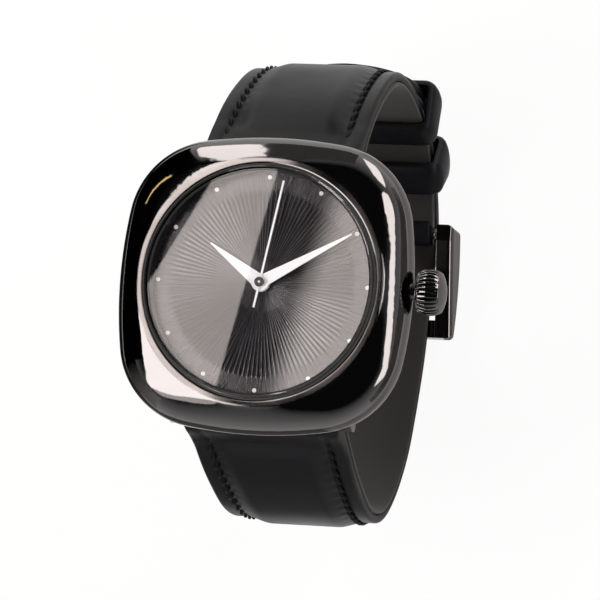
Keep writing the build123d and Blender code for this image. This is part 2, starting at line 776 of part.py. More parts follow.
# Crown with a coin edge and a domed end
crown_plane = across(crown_start, 0, crown_height)
crown_end = crown_start + crown_length
crown_body_length = crown_length - crown_back_step - crown_dome
with BuildPart() as crown:
    rod(crown_plane, crown_back_radius, crown_back_step)
    with BuildSketch(across(crown_start + crown_back_step, 0, crown_height)):
        tooth_angle = 360 / crown_teeth
        crown_root = crown_radius - crown_tooth_depth
        crown_points = []
        for tooth in range(crown_teeth):
            for radius, share in ((crown_root, -crown_root_share), (crown_radius, -crown_tip_share),
                                  (crown_radius, crown_tip_share), (crown_root, crown_root_share)):
                crown_points.append(polar(radius, (tooth + share) * tooth_angle))
        Polygon(*crown_points, align=None)
    extrude(amount=crown_body_length)
    rod(across(crown_end - crown_dome, 0, crown_height), crown_root, crown_dome)
    with BuildSketch(Plane.XY.offset(crown_height)) as crown_profile:
        with BuildLine():
            shoulder = (crown_end - crown_dome, crown_shoulder_radius)
            Polyline((crown_end, 0), (crown_start, 0), (crown_start, crown_back_radius))
            ThreePointArc((crown_start, crown_back_radius), ((crown_start + shoulder[0]) / 2, crown_radius),
                          shoulder)
            TangentArc((crown_end, 0), shoulder, tangent=(0, 1))
        make_face()
    revolve(crown_profile.sketch, axis=Axis((0, 0, crown_height), (1, 0, 0)), mode=Mode.INTERSECT)
    rod(crown_plane, crown_bore_radius, crown_bore_depth, Mode.SUBTRACT)
    rod(crown_plane, stem_radius + fit_gap, crown_bore_depth + stem_post_depth, Mode.SUBTRACT)
crown.part.label = "crown"
export_step(crown.part, "parts/crown.step")

with BuildPart() as crown_tube:
    rod(across(tube_start, 0, crown_height), tube_radius, tube_end - tube_start)
    rod(across(tube_start, 0, crown_height), tube_bore, tube_end - tube_start, Mode.SUBTRACT)
crown_tube.part.label = "crown_tube"
export_step(crown_tube.part, "parts/crown_tube.step")

with BuildPart() as crown_gasket:
    gasket_plane = across(crown_gasket_start, 0, crown_height)
    rod(gasket_plane, crown_bore_radius, crown_gasket_length)
    rod(gasket_plane, tube_radius + fit_gap, crown_gasket_length, Mode.SUBTRACT)
crown_gasket.part.label = "crown_gasket"
export_step(crown_gasket.part, "parts/crown_gasket.step")

# Winding stem with the groove that the setting lever's pin follows
stem_end = crown_start + crown_bore_depth + stem_post_depth
with BuildPart() as winding_stem:
    rod(across(stem_start, 0, crown_height), stem_radius, stem_end - stem_start)
    with BuildSketch(across(groove_start, 0, crown_height)):
        Circle(stem_radius + cut_overrun)
        Circle(groove_radius, mode=Mode.SUBTRACT)
    extrude(amount=groove_length, mode=Mode.SUBTRACT)
winding_stem.part.label = "winding_stem"
export_step(winding_stem.part, "parts/winding_stem.step")

with BuildPart() as sliding_pinion:
    with BuildSketch(across(stem_start + loose_gap, 0, crown_height)):
        pinion_module = 2 * sliding_pinion_radius / (sliding_pinion_teeth + 2 * addendum_share)
        Polygon(*gear_points(sliding_pinion_teeth, pinion_module, 0), align=None)
        Circle(stem_radius + close_gap, mode=Mode.SUBTRACT)
    extrude(amount=sliding_pinion_length)
sliding_pinion.part.label = "sliding_pinion"
export_step(sliding_pinion.part, "parts/sliding_pinion.step")

# Setting lever: a plate over the stem, a foot on the main plate and a pin in the stem's groove
lever_bottom = crown_height + stem_radius + loose_gap
lever_centre = groove_start + groove_length / 2
lever_front = stem_radius - lever_length
with BuildPart() as setting_lever:
    with BuildSketch(Plane.XY.offset(lever_bottom)):
        with Locations((lever_centre, lever_front + lever_length / 2)):
            Rectangle(lever_width, lever_length)
    extrude(amount=lever_thickness)
    with BuildSketch(Plane.XY.offset(main_plate_top + fit_gap)):
        with Locations((lever_centre, lever_front + lever_width / 2)):
            Rectangle(lever_width, lever_width)
    extrude(amount=lever_bottom - main_plate_top - fit_gap)
    disc((lever_centre, 0), crown_height + groove_radius + loose_gap, lever_pin_radius,
         stem_radius - groove_radius)
setting_lever.part.label = "setting_lever"
export_step(setting_lever.part, "parts/setting_lever.step")


def spring_bar_tube(gap, y, height):
    """Outer tube of a sprung bar that spans a gap between two lugs."""
    half = gap / 2 - bar_end_gap - tip_collar_width - tip_travel - loose_gap
    rod(across(-half, y, height), bar_tube_radius, 2 * half)
    rod(across(-half, y, height), bar_tube_bore, 2 * half, Mode.SUBTRACT)


def spring_bar_tip(gap, y, height, end):
    """Sprung end pin, with its collar and the rod that slides in the tube."""
    collar_end = gap / 2 - bar_end_gap
    collar_start = collar_end - tip_collar_width
    rod(outward(end * collar_end, y, height, end), tip_pin_radius, bar_end_gap + tip_engagement)
    rod(outward(end * collar_start, y, height, end), tip_collar_radius, tip_collar_width)
    rod(outward(end * (collar_start - tip_rod_length), y, height, end), tip_rod_radius, tip_rod_length)


def spring_bar_spring(gap, y, height):
    """Coil spring between the two rods, drawn as long as it is when both tips are pressed in."""
    half = gap / 2 - bar_end_gap - tip_collar_width - tip_rod_length - tip_travel - 2 * loose_gap
    with BuildLine() as coil:
        Helix(2 * half / bar_spring_turns, 2 * half, bar_spring_radius, center=(-half, y, height),
              direction=(1, 0, 0))
    with BuildSketch(Plane(origin=coil.line @ 0, z_dir=coil.line % 0)) as wire:
        Circle(bar_spring_wire)
    sweep(sections=wire.sketch, path=coil.line, is_frenet=True)


# Spring bars of both strap halves and of the buckle
buckle_bar = (buckle_bar_y, buckle_bar_height)
bars = (("strap_12_bar", lug_gap, pin_distance, pin_height),
        ("strap_6_bar", lug_gap, -pin_distance, pin_height),
        ("buckle_bar", buckle_inner_width, buckle_bar_y, buckle_bar_height))
for bar_name, gap, y, height in bars:
    with BuildPart() as bar_tube:
        spring_bar_tube(gap, y, height)
    bar_tube.part.label = bar_name
    export_step(bar_tube.part, f"parts/{bar_name}.step")
    for end_name, end in (("left", -1), ("right", 1)):
        with BuildPart() as bar_tip:
            spring_bar_tip(gap, y, height, end)
        bar_tip.part.label = f"{bar_name}_tip_{end_name}"
        export_step(bar_tip.part, f"parts/{bar_name}_tip_{end_name}.step")
    with BuildPart() as bar_spring:
        spring_bar_spring(gap, y, height)
    bar_spring.part.label = f"{bar_name}_spring"
    export_step(bar_spring.part, f"parts/{bar_name}_spring.step")


def route(shares, reach, start):
    """A strap's mid-line in the YZ plane, from its pin through shares of its reach and depth."""
    points = [(0, *start)] + [(0, reach * y_share, strap_depth * z_share) for y_share, z_share in shares]
    return Spline(*points)


def beside(line, share, side, distance):
    """Point at a distance to the outer side of a mid-line."""
    here = line @ share
    ahead = line % share
    return (here.Y - side * ahead.Z * distance, here.Z + side * ahead.Y * distance)


def layer_face(line, side, share_range, offsets):
    """Outline of a layer that follows a mid-line between two offsets."""
    start, end = share_range
    steps = round((end - start) * line.length / layer_step) + 2
    shares = [start + (end - start) * step / steps for step in range(steps + 1)]
    with BuildSketch(Plane.YZ) as outline:
        with BuildLine():
            low = Spline(*[beside(line, share, side, offsets[0]) for share in shares])
            high = Spline(*[beside(line, share, side, offsets[1]) for share in shares])
            Line(low @ 0, high @ 0)
            Line(low @ 1, high @ 1)
        make_face()
    return outline.sketch


def tapered_block(scale):
    """Block that narrows from the case to the buckle, as wide as the strap times a scale."""
    wide_half = strap_width * scale / 2
    narrow_half = strap_buckle_width * scale / 2
    above = 2 * strap_thickness
    below = -strap_depth - 4 * strap_thickness
    with BuildSketch(Plane.XZ) as outline:
        Polygon((-wide_half, above), (-wide_half, 0), (-narrow_half, -strap_depth), (-narrow_half, below),
                (narrow_half, below), (narrow_half, -strap_depth), (wide_half, 0), (wide_half, above),
                align=None)
    return extrude(outline.sketch, amount=2 * strap_reach_12, both=True)


# Mid-lines of both strap halves; the longer one ends beside the shorter
strap_12_line = route(strap_12_shares + ((buckle_bar_y / strap_reach_12, buckle_bar_height / strap_depth),),
                      strap_reach_12, (pin_distance, pin_height))
tail_offset = strap_thickness / 2 + keeper_gap + tail_thickness / 2
tail_points = [beside(strap_12_line, share, 1, tail_offset) for share in tail_shares]
tail_route = tuple((y / strap_reach_6, height / strap_depth) for y, height in tail_points)
strap_6_line = route(strap_6_shares + tail_route, strap_reach_6, (-pin_distance, pin_height))
loop_radius = bar_tube_radius + strap_loop_wall
loop_share_12 = (loop_radius + 2 * layer_gap) / strap_12_line.length
loop_share_6 = (loop_radius + 2 * layer_gap) / strap_6_line.length
wide = tapered_block(1)
narrow = tapered_block(padding_width_share)
narrower = tapered_block(padding_width_share - layer_gap)


def strap_layers(line, side, thickness, lining_range, padding_range, outer_range, loops):
    """Outer leather with its padding pocket and bar loops, then padding, then lining."""
    lining_top = thickness * lining_share - thickness / 2
    padding_top = lining_top + thickness * padding_share
    layers = []
    for share_range, offsets in ((outer_range, (lining_top, thickness / 2)),
                                 (padding_range, (lining_top - layer_gap, padding_top)),
                                 (padding_range, (lining_top, padding_top - layer_gap)),
                                 (lining_range, (-thickness / 2, lining_top - layer_gap))):
        layers.append(extrude(layer_face(line, side, share_range, offsets), amount=strap_width, both=True))
    slab, pocket, filling, lining = layers
    outer = slab & wide
    for y, height, width in loops:
        outer = outer + extrude(across(-width / 2, y, height) * Circle(loop_radius), amount=width)
    outer = outer - (pocket & narrow)
    bore = Circle(bar_tube_radius + bar_clearance)
    for y, height, width in loops:
        outer = outer - extrude(across(-width, y, height) * bore, amount=2 * width)
    return outer, filling & narrower, lining & wide


def prong_opening(length, centre_y):
    """Block that opens the strap for the prong."""
    with BuildSketch(Plane.XY.offset(buckle_bar_height)) as outline:
        with Locations((0, centre_y)):
            SlotOverall(length, prong_slot_width, rotation=90)
    return extrude(outline.sketch, amount=4 * strap_thickness, both=True)


def hole_through(line, share):
    """Rod along the outer side's direction, for an adjustment hole."""
    y, height = beside(line, share, -1, -strap_thickness)
    tangent = line % share
    plane = Plane(origin=(0, y, height), x_dir=(1, 0, 0), z_dir=(0, -tangent.Z, tangent.Y))
    return extrude(plane * Circle(strap_hole_radius), amount=2 * strap_thickness, both=True)


# 12 o'clock half of the strap, which carries the buckle
ring_radius = bar_tube_radius + bar_clearance + prong_ring_wall
ring_opening = prong_opening(2 * (loop_radius + prong_slot_width), buckle_bar_y)
loops_12 = ((pin_distance, pin_height, strap_width), (buckle_bar_y, buckle_bar_height, strap_buckle_width))
layers_12 = strap_layers(strap_12_line, 1, strap_thickness, (loop_share_12, 1 - loop_share_12),
                         (padding_start_share, padding_end_share), (0, 1), loops_12)
for layer_name, layer in zip(("outer", "padding", "lining"), layers_12):
    with BuildPart() as strap_12_layer:
        add(layer - ring_opening)
    strap_12_layer.part.label = f"strap_12_{layer_name}"
    export_step(strap_12_layer.part, f"parts/strap_12_{layer_name}.step")

# 6 o'clock half of the strap, with its rounded tail, prong slot and adjustment holes
loops_6 = ((-pin_distance, pin_height, strap_width),)
layers_6 = strap_layers(strap_6_line, -1, tail_thickness, (loop_share_6, 1),
                        (padding_start_share, padding_6_end_share), (0, 1), loops_6)
tail_tip_height = (strap_6_line @ 1).Z
with BuildSketch(Plane.XZ) as tip_outline:
    with Locations((0, tail_tip_height)):
        Rectangle(2 * strap_width, 2 * tail_round_radius, align=(Align.CENTER, Align.CENTER))
    with Locations((0, tail_tip_height - tail_round_radius)):
        Circle(tail_round_radius, mode=Mode.SUBTRACT)
tip_waste = extrude(tip_outline.sketch, amount=-2 * strap_reach_12)
prong_slot = prong_opening(prong_slot_length, prong_slot_y_share * buckle_bar_y)
hole_step = strap_hole_spacing / strap_6_line.length
holes = [hole_through(strap_6_line, prong_hole_share + step * hole_step) for step in strap_hole_steps]
for layer_name, layer in zip(("outer", "padding", "lining"), layers_6):
    with BuildPart() as strap_6_layer:
        add(layer - tip_waste - prong_slot)
        if layer_name != "padding":
            for hole in holes:
                add(hole, mode=Mode.SUBTRACT)
    strap_6_layer.part.label = f"strap_6_{layer_name}"
    export_step(strap_6_layer.part, f"parts/strap_6_{layer_name}.step")


def keeper(share):
    """A leather band that follows the strap around both halves."""
    half_range = keeper_width / strap_12_line.length / 2
    overrun_range = half_range + cut_overrun / strap_12_line.length
    taper = (strap_width - strap_buckle_width) / strap_depth
    inner_width = strap_width + taper * (strap_12_line @ (share - overrun_range)).Z + 2 * keeper_gap
    low = -strap_thickness / 2 - keeper_gap
    high = strap_thickness / 2 + tail_thickness + 2 * keeper_gap
    band = layer_face(strap_12_line, 1, (share - half_range, share + half_range),
                      (low - keeper_wall, high + keeper_wall))
    space = layer_face(strap_12_line, 1, (share - overrun_range, share + overrun_range), (low, high))
    outside = extrude(band, amount=inner_width / 2 + keeper_wall, both=True)
    rounded = fillet(outside.edges().filter_by(GeomType.BSPLINE), keeper_corner)
    return rounded - extrude(space, amount=inner_width / 2, both=True)


for keeper_name, keeper_share in (("fixed_keeper", fixed_keeper_share),
                                  ("floating_keeper", floating_keeper_share)):
    band = keeper(keeper_share)
    with BuildPart() as keeper_band:
        add(band)
    keeper_band.part.label = keeper_name
    export_step(keeper_band.part, f"parts/{keeper_name}.step")

# Pin buckle: two rails with ears for the spring bar, and a crossbar that the prong rests on
crossbar_top = strap_6_shares[-4][1] * strap_depth - tail_thickness / 2 - crossbar_clearance
crossbar_bottom = crossbar_top - crossbar_height
rail_end = buckle_bar_y + buckle_bar_end
with BuildPart() as buckle_frame:
    for end in (-1, 1):
        with BuildSketch(Plane.YZ.offset(end * buckle_inner_width / 2)):
            with BuildLine():
                Polyline((buckle_end_y, crossbar_bottom), (buckle_end_y, crossbar_top),
                         (buckle_bar_y - buckle_bar_end, buckle_bar_height + buckle_ear_height),
                         (rail_end, buckle_bar_height + buckle_ear_height), (rail_end, crossbar_bottom))
                ThreePointArc((rail_end, crossbar_bottom),
                              ((rail_end + buckle_end_y) / 2, crossbar_bottom - buckle_bulge),
                              (buckle_end_y, crossbar_bottom))
            make_face()
        extrude(amount=end * buckle_rail_width)
    with BuildSketch(Plane.XY.offset(crossbar_top)):
        with Locations((0, buckle_end_y + crossbar_length / 2)):
            Rectangle(buckle_inner_width, crossbar_length)
    extrude(amount=-crossbar_height)
    for end in (-1, 1):
        rod(outward(end * buckle_inner_width / 2, *buckle_bar, end), lug_hole_radius,
            tip_engagement + loose_gap, Mode.SUBTRACT)
    for end in (0, -1):
        fillet(buckle_frame.edges().group_by(Axis.X)[end], buckle_edge)
buckle_frame.part.label = "buckle_frame"
export_step(buckle_frame.part, "parts/buckle_frame.step")

# Prong, curled around the buckle's bar, through the slot and over the crossbar
prong_height = crossbar_bottom - loose_gap - prong_thickness / 2
prong_elbow = (prong_elbow_y, prong_height + loose_gap)
prong_points = (buckle_bar, prong_knee, prong_elbow, (prong_tip_y, prong_height))
prong_plane = Plane.YZ.offset(-prong_width / 2)
with BuildPart() as buckle_prong:
    for start, end in zip(prong_points, prong_points[1:]):
        extrude(to_extrude=arm(prong_plane, start, end, prong_thickness), amount=prong_width)
    rod(across(-prong_width / 2, *buckle_bar), ring_radius, prong_width)
    rod(across(-prong_width / 2, *buckle_bar), bar_tube_radius + bar_clearance, prong_width, Mode.SUBTRACT)
buckle_prong.part.label = "buckle_prong"
export_step(buckle_prong.part, "parts/buckle_prong.step")
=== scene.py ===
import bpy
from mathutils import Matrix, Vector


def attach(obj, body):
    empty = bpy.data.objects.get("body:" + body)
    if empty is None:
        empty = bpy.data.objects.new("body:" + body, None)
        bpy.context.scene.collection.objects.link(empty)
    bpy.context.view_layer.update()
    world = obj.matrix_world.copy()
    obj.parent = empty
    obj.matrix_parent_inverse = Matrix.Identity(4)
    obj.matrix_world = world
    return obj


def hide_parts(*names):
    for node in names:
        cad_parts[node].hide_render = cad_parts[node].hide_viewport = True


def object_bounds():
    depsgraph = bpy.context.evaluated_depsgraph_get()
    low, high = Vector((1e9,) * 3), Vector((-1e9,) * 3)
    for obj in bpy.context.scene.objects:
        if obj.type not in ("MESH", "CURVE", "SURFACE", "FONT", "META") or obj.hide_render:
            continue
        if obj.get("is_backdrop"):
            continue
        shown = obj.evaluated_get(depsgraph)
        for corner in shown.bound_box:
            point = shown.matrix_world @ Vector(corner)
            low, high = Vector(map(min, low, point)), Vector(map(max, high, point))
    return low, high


bl_info = {
    "name": "Cushion case watch",
    "version": (1, 0, 0),
    "blender": (4, 5, 0),
    "location": "3D View > Sidebar > Watch",
    "description": "Dresses the packed watch with its finishes, straps, stitching and studio",
    "category": "Object",
}

import math

import bmesh
import bpy
import numpy as np
from mathutils import Matrix, Vector

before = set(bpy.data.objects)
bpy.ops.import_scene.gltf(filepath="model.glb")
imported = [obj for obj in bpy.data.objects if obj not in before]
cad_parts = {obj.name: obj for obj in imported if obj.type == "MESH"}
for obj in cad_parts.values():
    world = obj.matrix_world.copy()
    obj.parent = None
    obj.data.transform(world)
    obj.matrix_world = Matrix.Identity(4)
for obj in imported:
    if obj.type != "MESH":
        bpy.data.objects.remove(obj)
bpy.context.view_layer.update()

MM = 0.001

# The straps' mid-lines in the YZ plane, in millimetres, from each lug pin
LUG_PIN = (16.2, 0.7)
LUG_PIN_6 = (-LUG_PIN[0], LUG_PIN[1])
BUCKLE_PIN = (16.0, -53.0)
STRAP_12_ROUTE = ((19.21, -1.38), (22.36, -4.29), (27.79, -11.93), (31.1, -19.72),
                  (31.8, -26.5), (31.2, -32.49), (29.7, -39.49), (26.3, -46.48),
                  (21.94, -50.24), BUCKLE_PIN)
STRAP_6_ROUTE = ((-18.69, -4.51), (-21.01, -9.01), (-23.39, -15.0), (-24.89, -19.98),
                 (-25.4, -25.49), (-24.69, -31.01), (-22.71, -35.78), (-19.99, -40.02),
                 (-16.31, -43.99), (-11.51, -47.38), (-6.2, -50.19), (-1.5, -52.26),
                 (2.03, -53.27), (6.99, -54.17), (11.43, -55.44), (15.62, -56.29))
# Shares of the 12 o'clock strap's length at which the tail runs beside it
TAIL_SHARES = (0.885, 0.82, 0.75, 0.68, 0.62, 0.56)

# Fixed sizes of the straps, in millimetres along them unless a comment says otherwise
SECTION_STEP = 0.35      # from one section of the leather to the next
LOOP_RADIUS = 1.75       # of the leather's turn round a spring bar
LOOP_BLEND = 4.0         # over which the loop thins to the strap
BAR_RADIUS = 0.8         # of the bores for the spring bars, and of the adjustment holes
BORE_REACH = 14.0        # of a bore's cutter, sideways from the middle
TURNED_EDGE = 0.45       # how far the leather's edges are turned, sideways
PAD_START = 3.0          # where the padding begins to rise
PAD_END_12, PAD_END_6 = 0.6, 0.45          # where it has faded, as shares of each strap
PAD_SLOPE = 3.2          # sideways, from the stitches to the padding's full height
GROOVE_DEPTH, GROOVE_WIDTH = 0.16, 0.42    # of the leather that the stitches pull down
PUCKER_HEIGHT, PUCKER_WIDTH = 0.03, 0.6    # of the puckers between the stitches
PUCKER_PLACE = 0.7       # sideways, inward from the stitches
TIP_LENGTH = 9.0         # of the tail's round end
TAIL_START = 70.0        # beyond this the 6 o'clock strap is as wide as at the buckle
HOLE_PITCH = 6.0         # between adjustment holes
BUCKLED_SHARE = 0.682    # of the 6 o'clock strap, where the prong passes through it
HOLE_STEPS = (-3, -2, -1, 1, 2)            # holes beside the prong, in pitches
SLOT_WIDTH = 2.2         # of the slots for the prong, sideways
SLOT_12, SLOT_6 = (BUCKLE_PIN[0], 7.9), (0.725 * BUCKLE_PIN[0], 4.6)    # middle and length in Y
FIRST_STITCH = 3.4
LAST_STITCH_12, LAST_STITCH_6 = 6.0, 9.0   # measured back from each strap's end
STITCH_SLANT = 0.25      # sideways, from a stitch's middle to its end
STITCH_SIDES = 8

# Where the crystal mirrors the eye's view to, and how wide, in millimetres
MIRRORED_X, MIRRORED_Y, MIRRORED_Z = -159.7, 89.9, 660.0
MIRRORED_RADIUS = 32.8

# A wave texture of this scale has bands or rings one unit apart
WAVE = math.pi / 10


# Small helpers

def linear(value):
    """Linear colour of an sRGB hex value."""
    channels = [int(value[i:i + 2], 16) / 255 for i in (1, 3, 5)]
    return (*[c / 12.92 if c <= 0.04045 else ((c + 0.055) / 1.055) ** 2.4 for c in channels], 1.0)


def shade(colour, share):
    """A colour made darker or paler by a share."""
    return tuple(min(c * share, 1.0) for c in colour[:3]) + (1.0,)


def colour_prop(name, value, description):
    """A colour setting whose default is an sRGB hex value."""
    return bpy.props.FloatVectorProperty(name=name, description=description, subtype="COLOR",
                                         size=4, min=0.0, max=1.0, default=linear(value))


def length_prop(name, millimetres, description):
    """A length setting whose default is given in millimetres."""
    return bpy.props.FloatProperty(name=name, description=description, subtype="DISTANCE",
                                   unit="LENGTH", precision=5, default=millimetres * MM)


def add_node(tree, kind, settings=None, links=None):
    """Add a shader node, set its properties, sockets or ramp stops by name, and link its sockets
    from (node, output) pairs. A stop is a place and a grey or a colour."""
    node = tree.nodes.new("ShaderNode" + kind)
    for key, value in (settings or {}).items():
        if key == "stops":
            elements = node.color_ramp.elements
            while len(elements) < len(value):
                elements.new(0.5)
            for element, (place, tone) in zip(elements, value):
                element.position = place
                element.color = tone if isinstance(tone, tuple) else (tone, tone, tone, 1.0)
        elif isinstance(key, str) and hasattr(node, key):
            setattr(node, key, value)
        else:
            node.inputs[key].default_value = value
    for key, (source, output) in (links or {}).items():
        tree.links.new(source.outputs[output], node.inputs[key])
    return node


def new_material(name):
    """An empty node material, its tree, and the link that gives a pattern its place in the row
    frame, where patterns keep their real size in metres."""
    material = bpy.data.materials.new(name)
    material.use_nodes = True
    tree = material.node_tree
    tree.nodes.clear()
    return material, tree, {"Vector": (add_node(tree, "TexCoord"), "Object")}


def finished(material, shader):
    """Link a shader to the material's output, and hand the material back."""
    add_node(material.node_tree, "OutputMaterial", None, {"Surface": (shader, 0)})
    return material


def dress(material, *nodes):
    """Give CAD nodes a material, in place of the plain one they arrived with."""
    for name in nodes:
        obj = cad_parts[name]
        obj.data.materials.clear()
        obj.data.materials.append(material)


# Mid-lines

def smooth_line(points, count=4000):
    """Dense points on a cubic spline through points, with chord lengths as its parameter."""
    p = np.array(points, float)
    t = np.concatenate(([0.0], np.cumsum(np.linalg.norm(np.diff(p, axis=0), axis=1))))
    n = len(p)

    def end_slope(times, places):
        """Slope at the first of four points, of the cubic through them."""
        slope = np.zeros(2)
        for i in range(4):
            others = [k for k in range(4) if k != i]
            scale = np.prod([times[i] - times[k] for k in others])
            total = sum(np.prod([times[0] - times[k] for k in others if k != j]) for j in others)
            slope += places[i] * total / scale
        return slope

    system = np.zeros((n, n))
    right = np.zeros((n, 2))
    system[0, 0] = system[-1, -1] = 1.0
    right[0] = end_slope(t[:4], p[:4])
    right[-1] = end_slope(t[::-1][:4], p[::-1][:4])
    h = np.diff(t)
    for i in range(1, n - 1):
        system[i, i - 1], system[i, i], system[i, i + 1] = h[i], 2 * (h[i - 1] + h[i]), h[i - 1]
        right[i] = 3 * (h[i] * (p[i] - p[i - 1]) / h[i - 1] + h[i - 1] * (p[i + 1] - p[i]) / h[i])
    slopes = np.linalg.solve(system, right)
    x = np.linspace(0.0, t[-1], count)
    k = np.clip(np.searchsorted(t, x, side="right") - 1, 0, n - 2)
    u = ((x - t[k]) / h[k])[:, None]
    hk = h[k][:, None]
    return ((1 + 2 * u) * (1 - u) ** 2 * p[k] + u * (1 - u) ** 2 * hk * slopes[k]
            + u ** 2 * (3 - 2 * u) * p[k + 1] + u ** 2 * (u - 1) * hk * slopes[k + 1])


class MidLine:
    """A strap's mid-line, read by its length from the lug pin. side is 1 where outward is to its
    left, and -1 where it is to its right."""

    def __init__(self, points, side):
        self.points = smooth_line(points)
        steps = np.linalg.norm(np.diff(self.points, axis=0), axis=1)
        self.lengths = np.concatenate(([0.0], np.cumsum(steps)))
        self.length = self.lengths[-1]
        self.side = side

    def read(self, s):
        """Point at a length within the line."""
        return np.array([np.interp(s, self.lengths, self.points[:, i]) for i in (0, 1)])

    def at(self, s):
        """Point, tangent and outward normal at a length, run straight on past either end."""
        inside = min(max(s, 0.0), self.length)
        tangent = self.read(min(inside + 0.05, self.length)) - self.read(max(inside - 0.05, 0.0))
        tangent /= np.linalg.norm(tangent)
        normal = self.side * np.array([-tangent[1], tangent[0]])
        return self.read(inside) + (s - inside) * tangent, tangent, normal

    def place(self, s, x, height):
        """Point in the row frame, in metres, at a length, sideways and outward from the line."""
        point, _, normal = self.at(s)
        y, z = point + height * normal
        return Vector((x, y, z)) * MM


def strap_lines(sizes):
    """Mid-lines of the 12 o'clock and 6 o'clock straps; the second ends beside the first."""
    line_12 = MidLine((LUG_PIN,) + STRAP_12_ROUTE, 1)
    offset = (sizes.thickness / 2 + sizes.keeper_gap + sizes.tail_thickness / 2) / MM
    tail = []
    for share in TAIL_SHARES:
        point, _, normal = line_12.at(share * line_12.length)
        tail.append(tuple(point + offset * normal))
    return line_12, MidLine((LUG_PIN_6,) + STRAP_6_ROUTE + tuple(tail), -1)


# Meshes

def join_rows(mesh, rows):
    """Join each closed row of vertices to the next by a band of faces."""
    for one, two in zip(rows, rows[1:]):
        for i in range(len(one)):
            j = (i + 1) % len(one)
            mesh.faces.new((one[i], one[j], two[j], two[i]))


def join_rings(mesh, rings):
    """Add a closed skin through rings of points of one count, with flat ends."""
    rows = [[mesh.verts.new(point) for point in ring] for ring in rings]
    join_rows(mesh, rows)
    mesh.faces.new(rows[0][::-1])
    mesh.faces.new(rows[-1])


def smooth(data):
    """Shade a mesh smooth, but for its sharp edges."""
    data.shade_smooth()
    data.set_sharp_from_angle(angle=math.radians(40.0))


def mesh_object(name, mesh, material):
    """A smooth-shaded object made from a bmesh."""
    data = bpy.data.meshes.new(name)
    mesh.to_mesh(data)
    mesh.free()
    data.materials.append(material)
    smooth(data)
    obj = bpy.data.objects.new(name, data)
    bpy.context.scene.collection.objects.link(obj)
    return obj


def skin(name, rings, material):
    """An object with one closed skin through rings of points."""
    mesh = bmesh.new()
    join_rings(mesh, rings)
    bmesh.ops.recalc_face_normals(mesh, faces=mesh.faces)
    return mesh_object(name, mesh, material)


def cut(obj, cutters):
    """Cut closed shapes out of an object, and remove them."""
    for cutter in cutters:
        modifier = obj.modifiers.new("cut", "BOOLEAN")
        modifier.operation = "DIFFERENCE"
        modifier.solver = "EXACT"
        modifier.object = cutter
    bpy.context.view_layer.update()
    graph = bpy.context.evaluated_depsgraph_get()
    cut_mesh = bpy.data.meshes.new_from_object(obj.evaluated_get(graph))
    obj.modifiers.clear()
    obj.data = cut_mesh
    smooth(obj.data)
    for cutter in cutters:
        bpy.data.objects.remove(cutter)


def circle(middle, radius, across, up, sides):
    """Points on a circle about a middle, in the plane of two directions."""
    return [middle + radius * (math.cos(a) * across + math.sin(a) * up)
            for a in np.linspace(0, 2 * math.pi, sides, endpoint=False)]


def round_bar(name, start, end, radius):
    """A closed round bar between two points, as a cutter."""
    axis = (end - start).normalized()
    across = axis.orthogonal().normalized()
    up = axis.cross(across)
    return skin(name, [circle(middle, radius, across, up, 32) for middle in (start, end)],
                bpy.data.materials[0])


def bore(pin):
    """A cutter for the bore in which a spring bar lies."""
    middle, aside = Vector((0, *pin)) * MM, Vector((BORE_REACH * MM, 0, 0))
    return round_bar("bore", middle - aside, middle + aside, BAR_RADIUS * MM)


def prong_slot(centre_y, length):
    """A cutter with round ends that opens a strap for the prong, from below to above."""
    points = []
    half, radius = (length - SLOT_WIDTH) / 2, SLOT_WIDTH / 2
    for turn, middle in ((0, half), (180, -half)):
        for angle in range(turn, turn + 181, 20):
            a = math.radians(angle)
            points.append((radius * math.cos(a), centre_y + middle + radius * math.sin(a)))
    rings = [[Vector((x, y, z)) * MM for x, y in points] for z in (-62.0, -45.0)]
    return skin("prong_slot", rings, bpy.data.materials[0])


# Finishes

def black_pvd_steel(name, colours, rounding):
    """Stainless steel, polished, then coated black by vapour deposition: a dark mirror that
    keeps the polish, with edges that the buffing wheel has rounded and faint haze where it has
    been handled."""
    material, tree, place = new_material(name)
    haze = add_node(tree, "TexNoise", {"Scale": 1 / (6 * MM), "Detail": 3.0}, place)
    rough = add_node(tree, "ValToRGB", {"stops": ((0.35, 0.035), (0.75, 0.075))},
                     {"Fac": (haze, "Fac")})
    buffed = add_node(tree, "Bevel", {"samples": 8, "Radius": rounding * MM})
    shader = add_node(tree, "BsdfPrincipled", {"Base Color": colours.black_steel, "Metallic": 1.0},
                      {"Roughness": (rough, "Color"), "Normal": (buffed, "Normal")})
    return finished(material, shader)


def turned_steel(colours):
    """Stainless steel, turned on a lathe: rings round the Z axis, drawn 0.24 mm apart."""
    material, tree, place = new_material("turned_stainless_steel")
    rings = add_node(tree, "TexWave", {"wave_type": "RINGS", "rings_direction": "Z",
                                       "Scale": WAVE / (0.2368 * MM), "Distortion": 0.4}, place)
    rough = add_node(tree, "ValToRGB", {"stops": ((0.0, 0.22), (1.0, 0.34))},
                     {"Fac": (rings, "Fac")})
    bump = add_node(tree, "Bump", {"Strength": 0.12, "Distance": 0.01 * MM},
                    {"Height": (rings, "Fac")})
    shader = add_node(tree, "BsdfPrincipled", {"Base Color": colours.bare_steel, "Metallic": 1.0},
                      {"Roughness": (rough, "Color"), "Normal": (bump, "Normal")})
    return finished(material, shader)


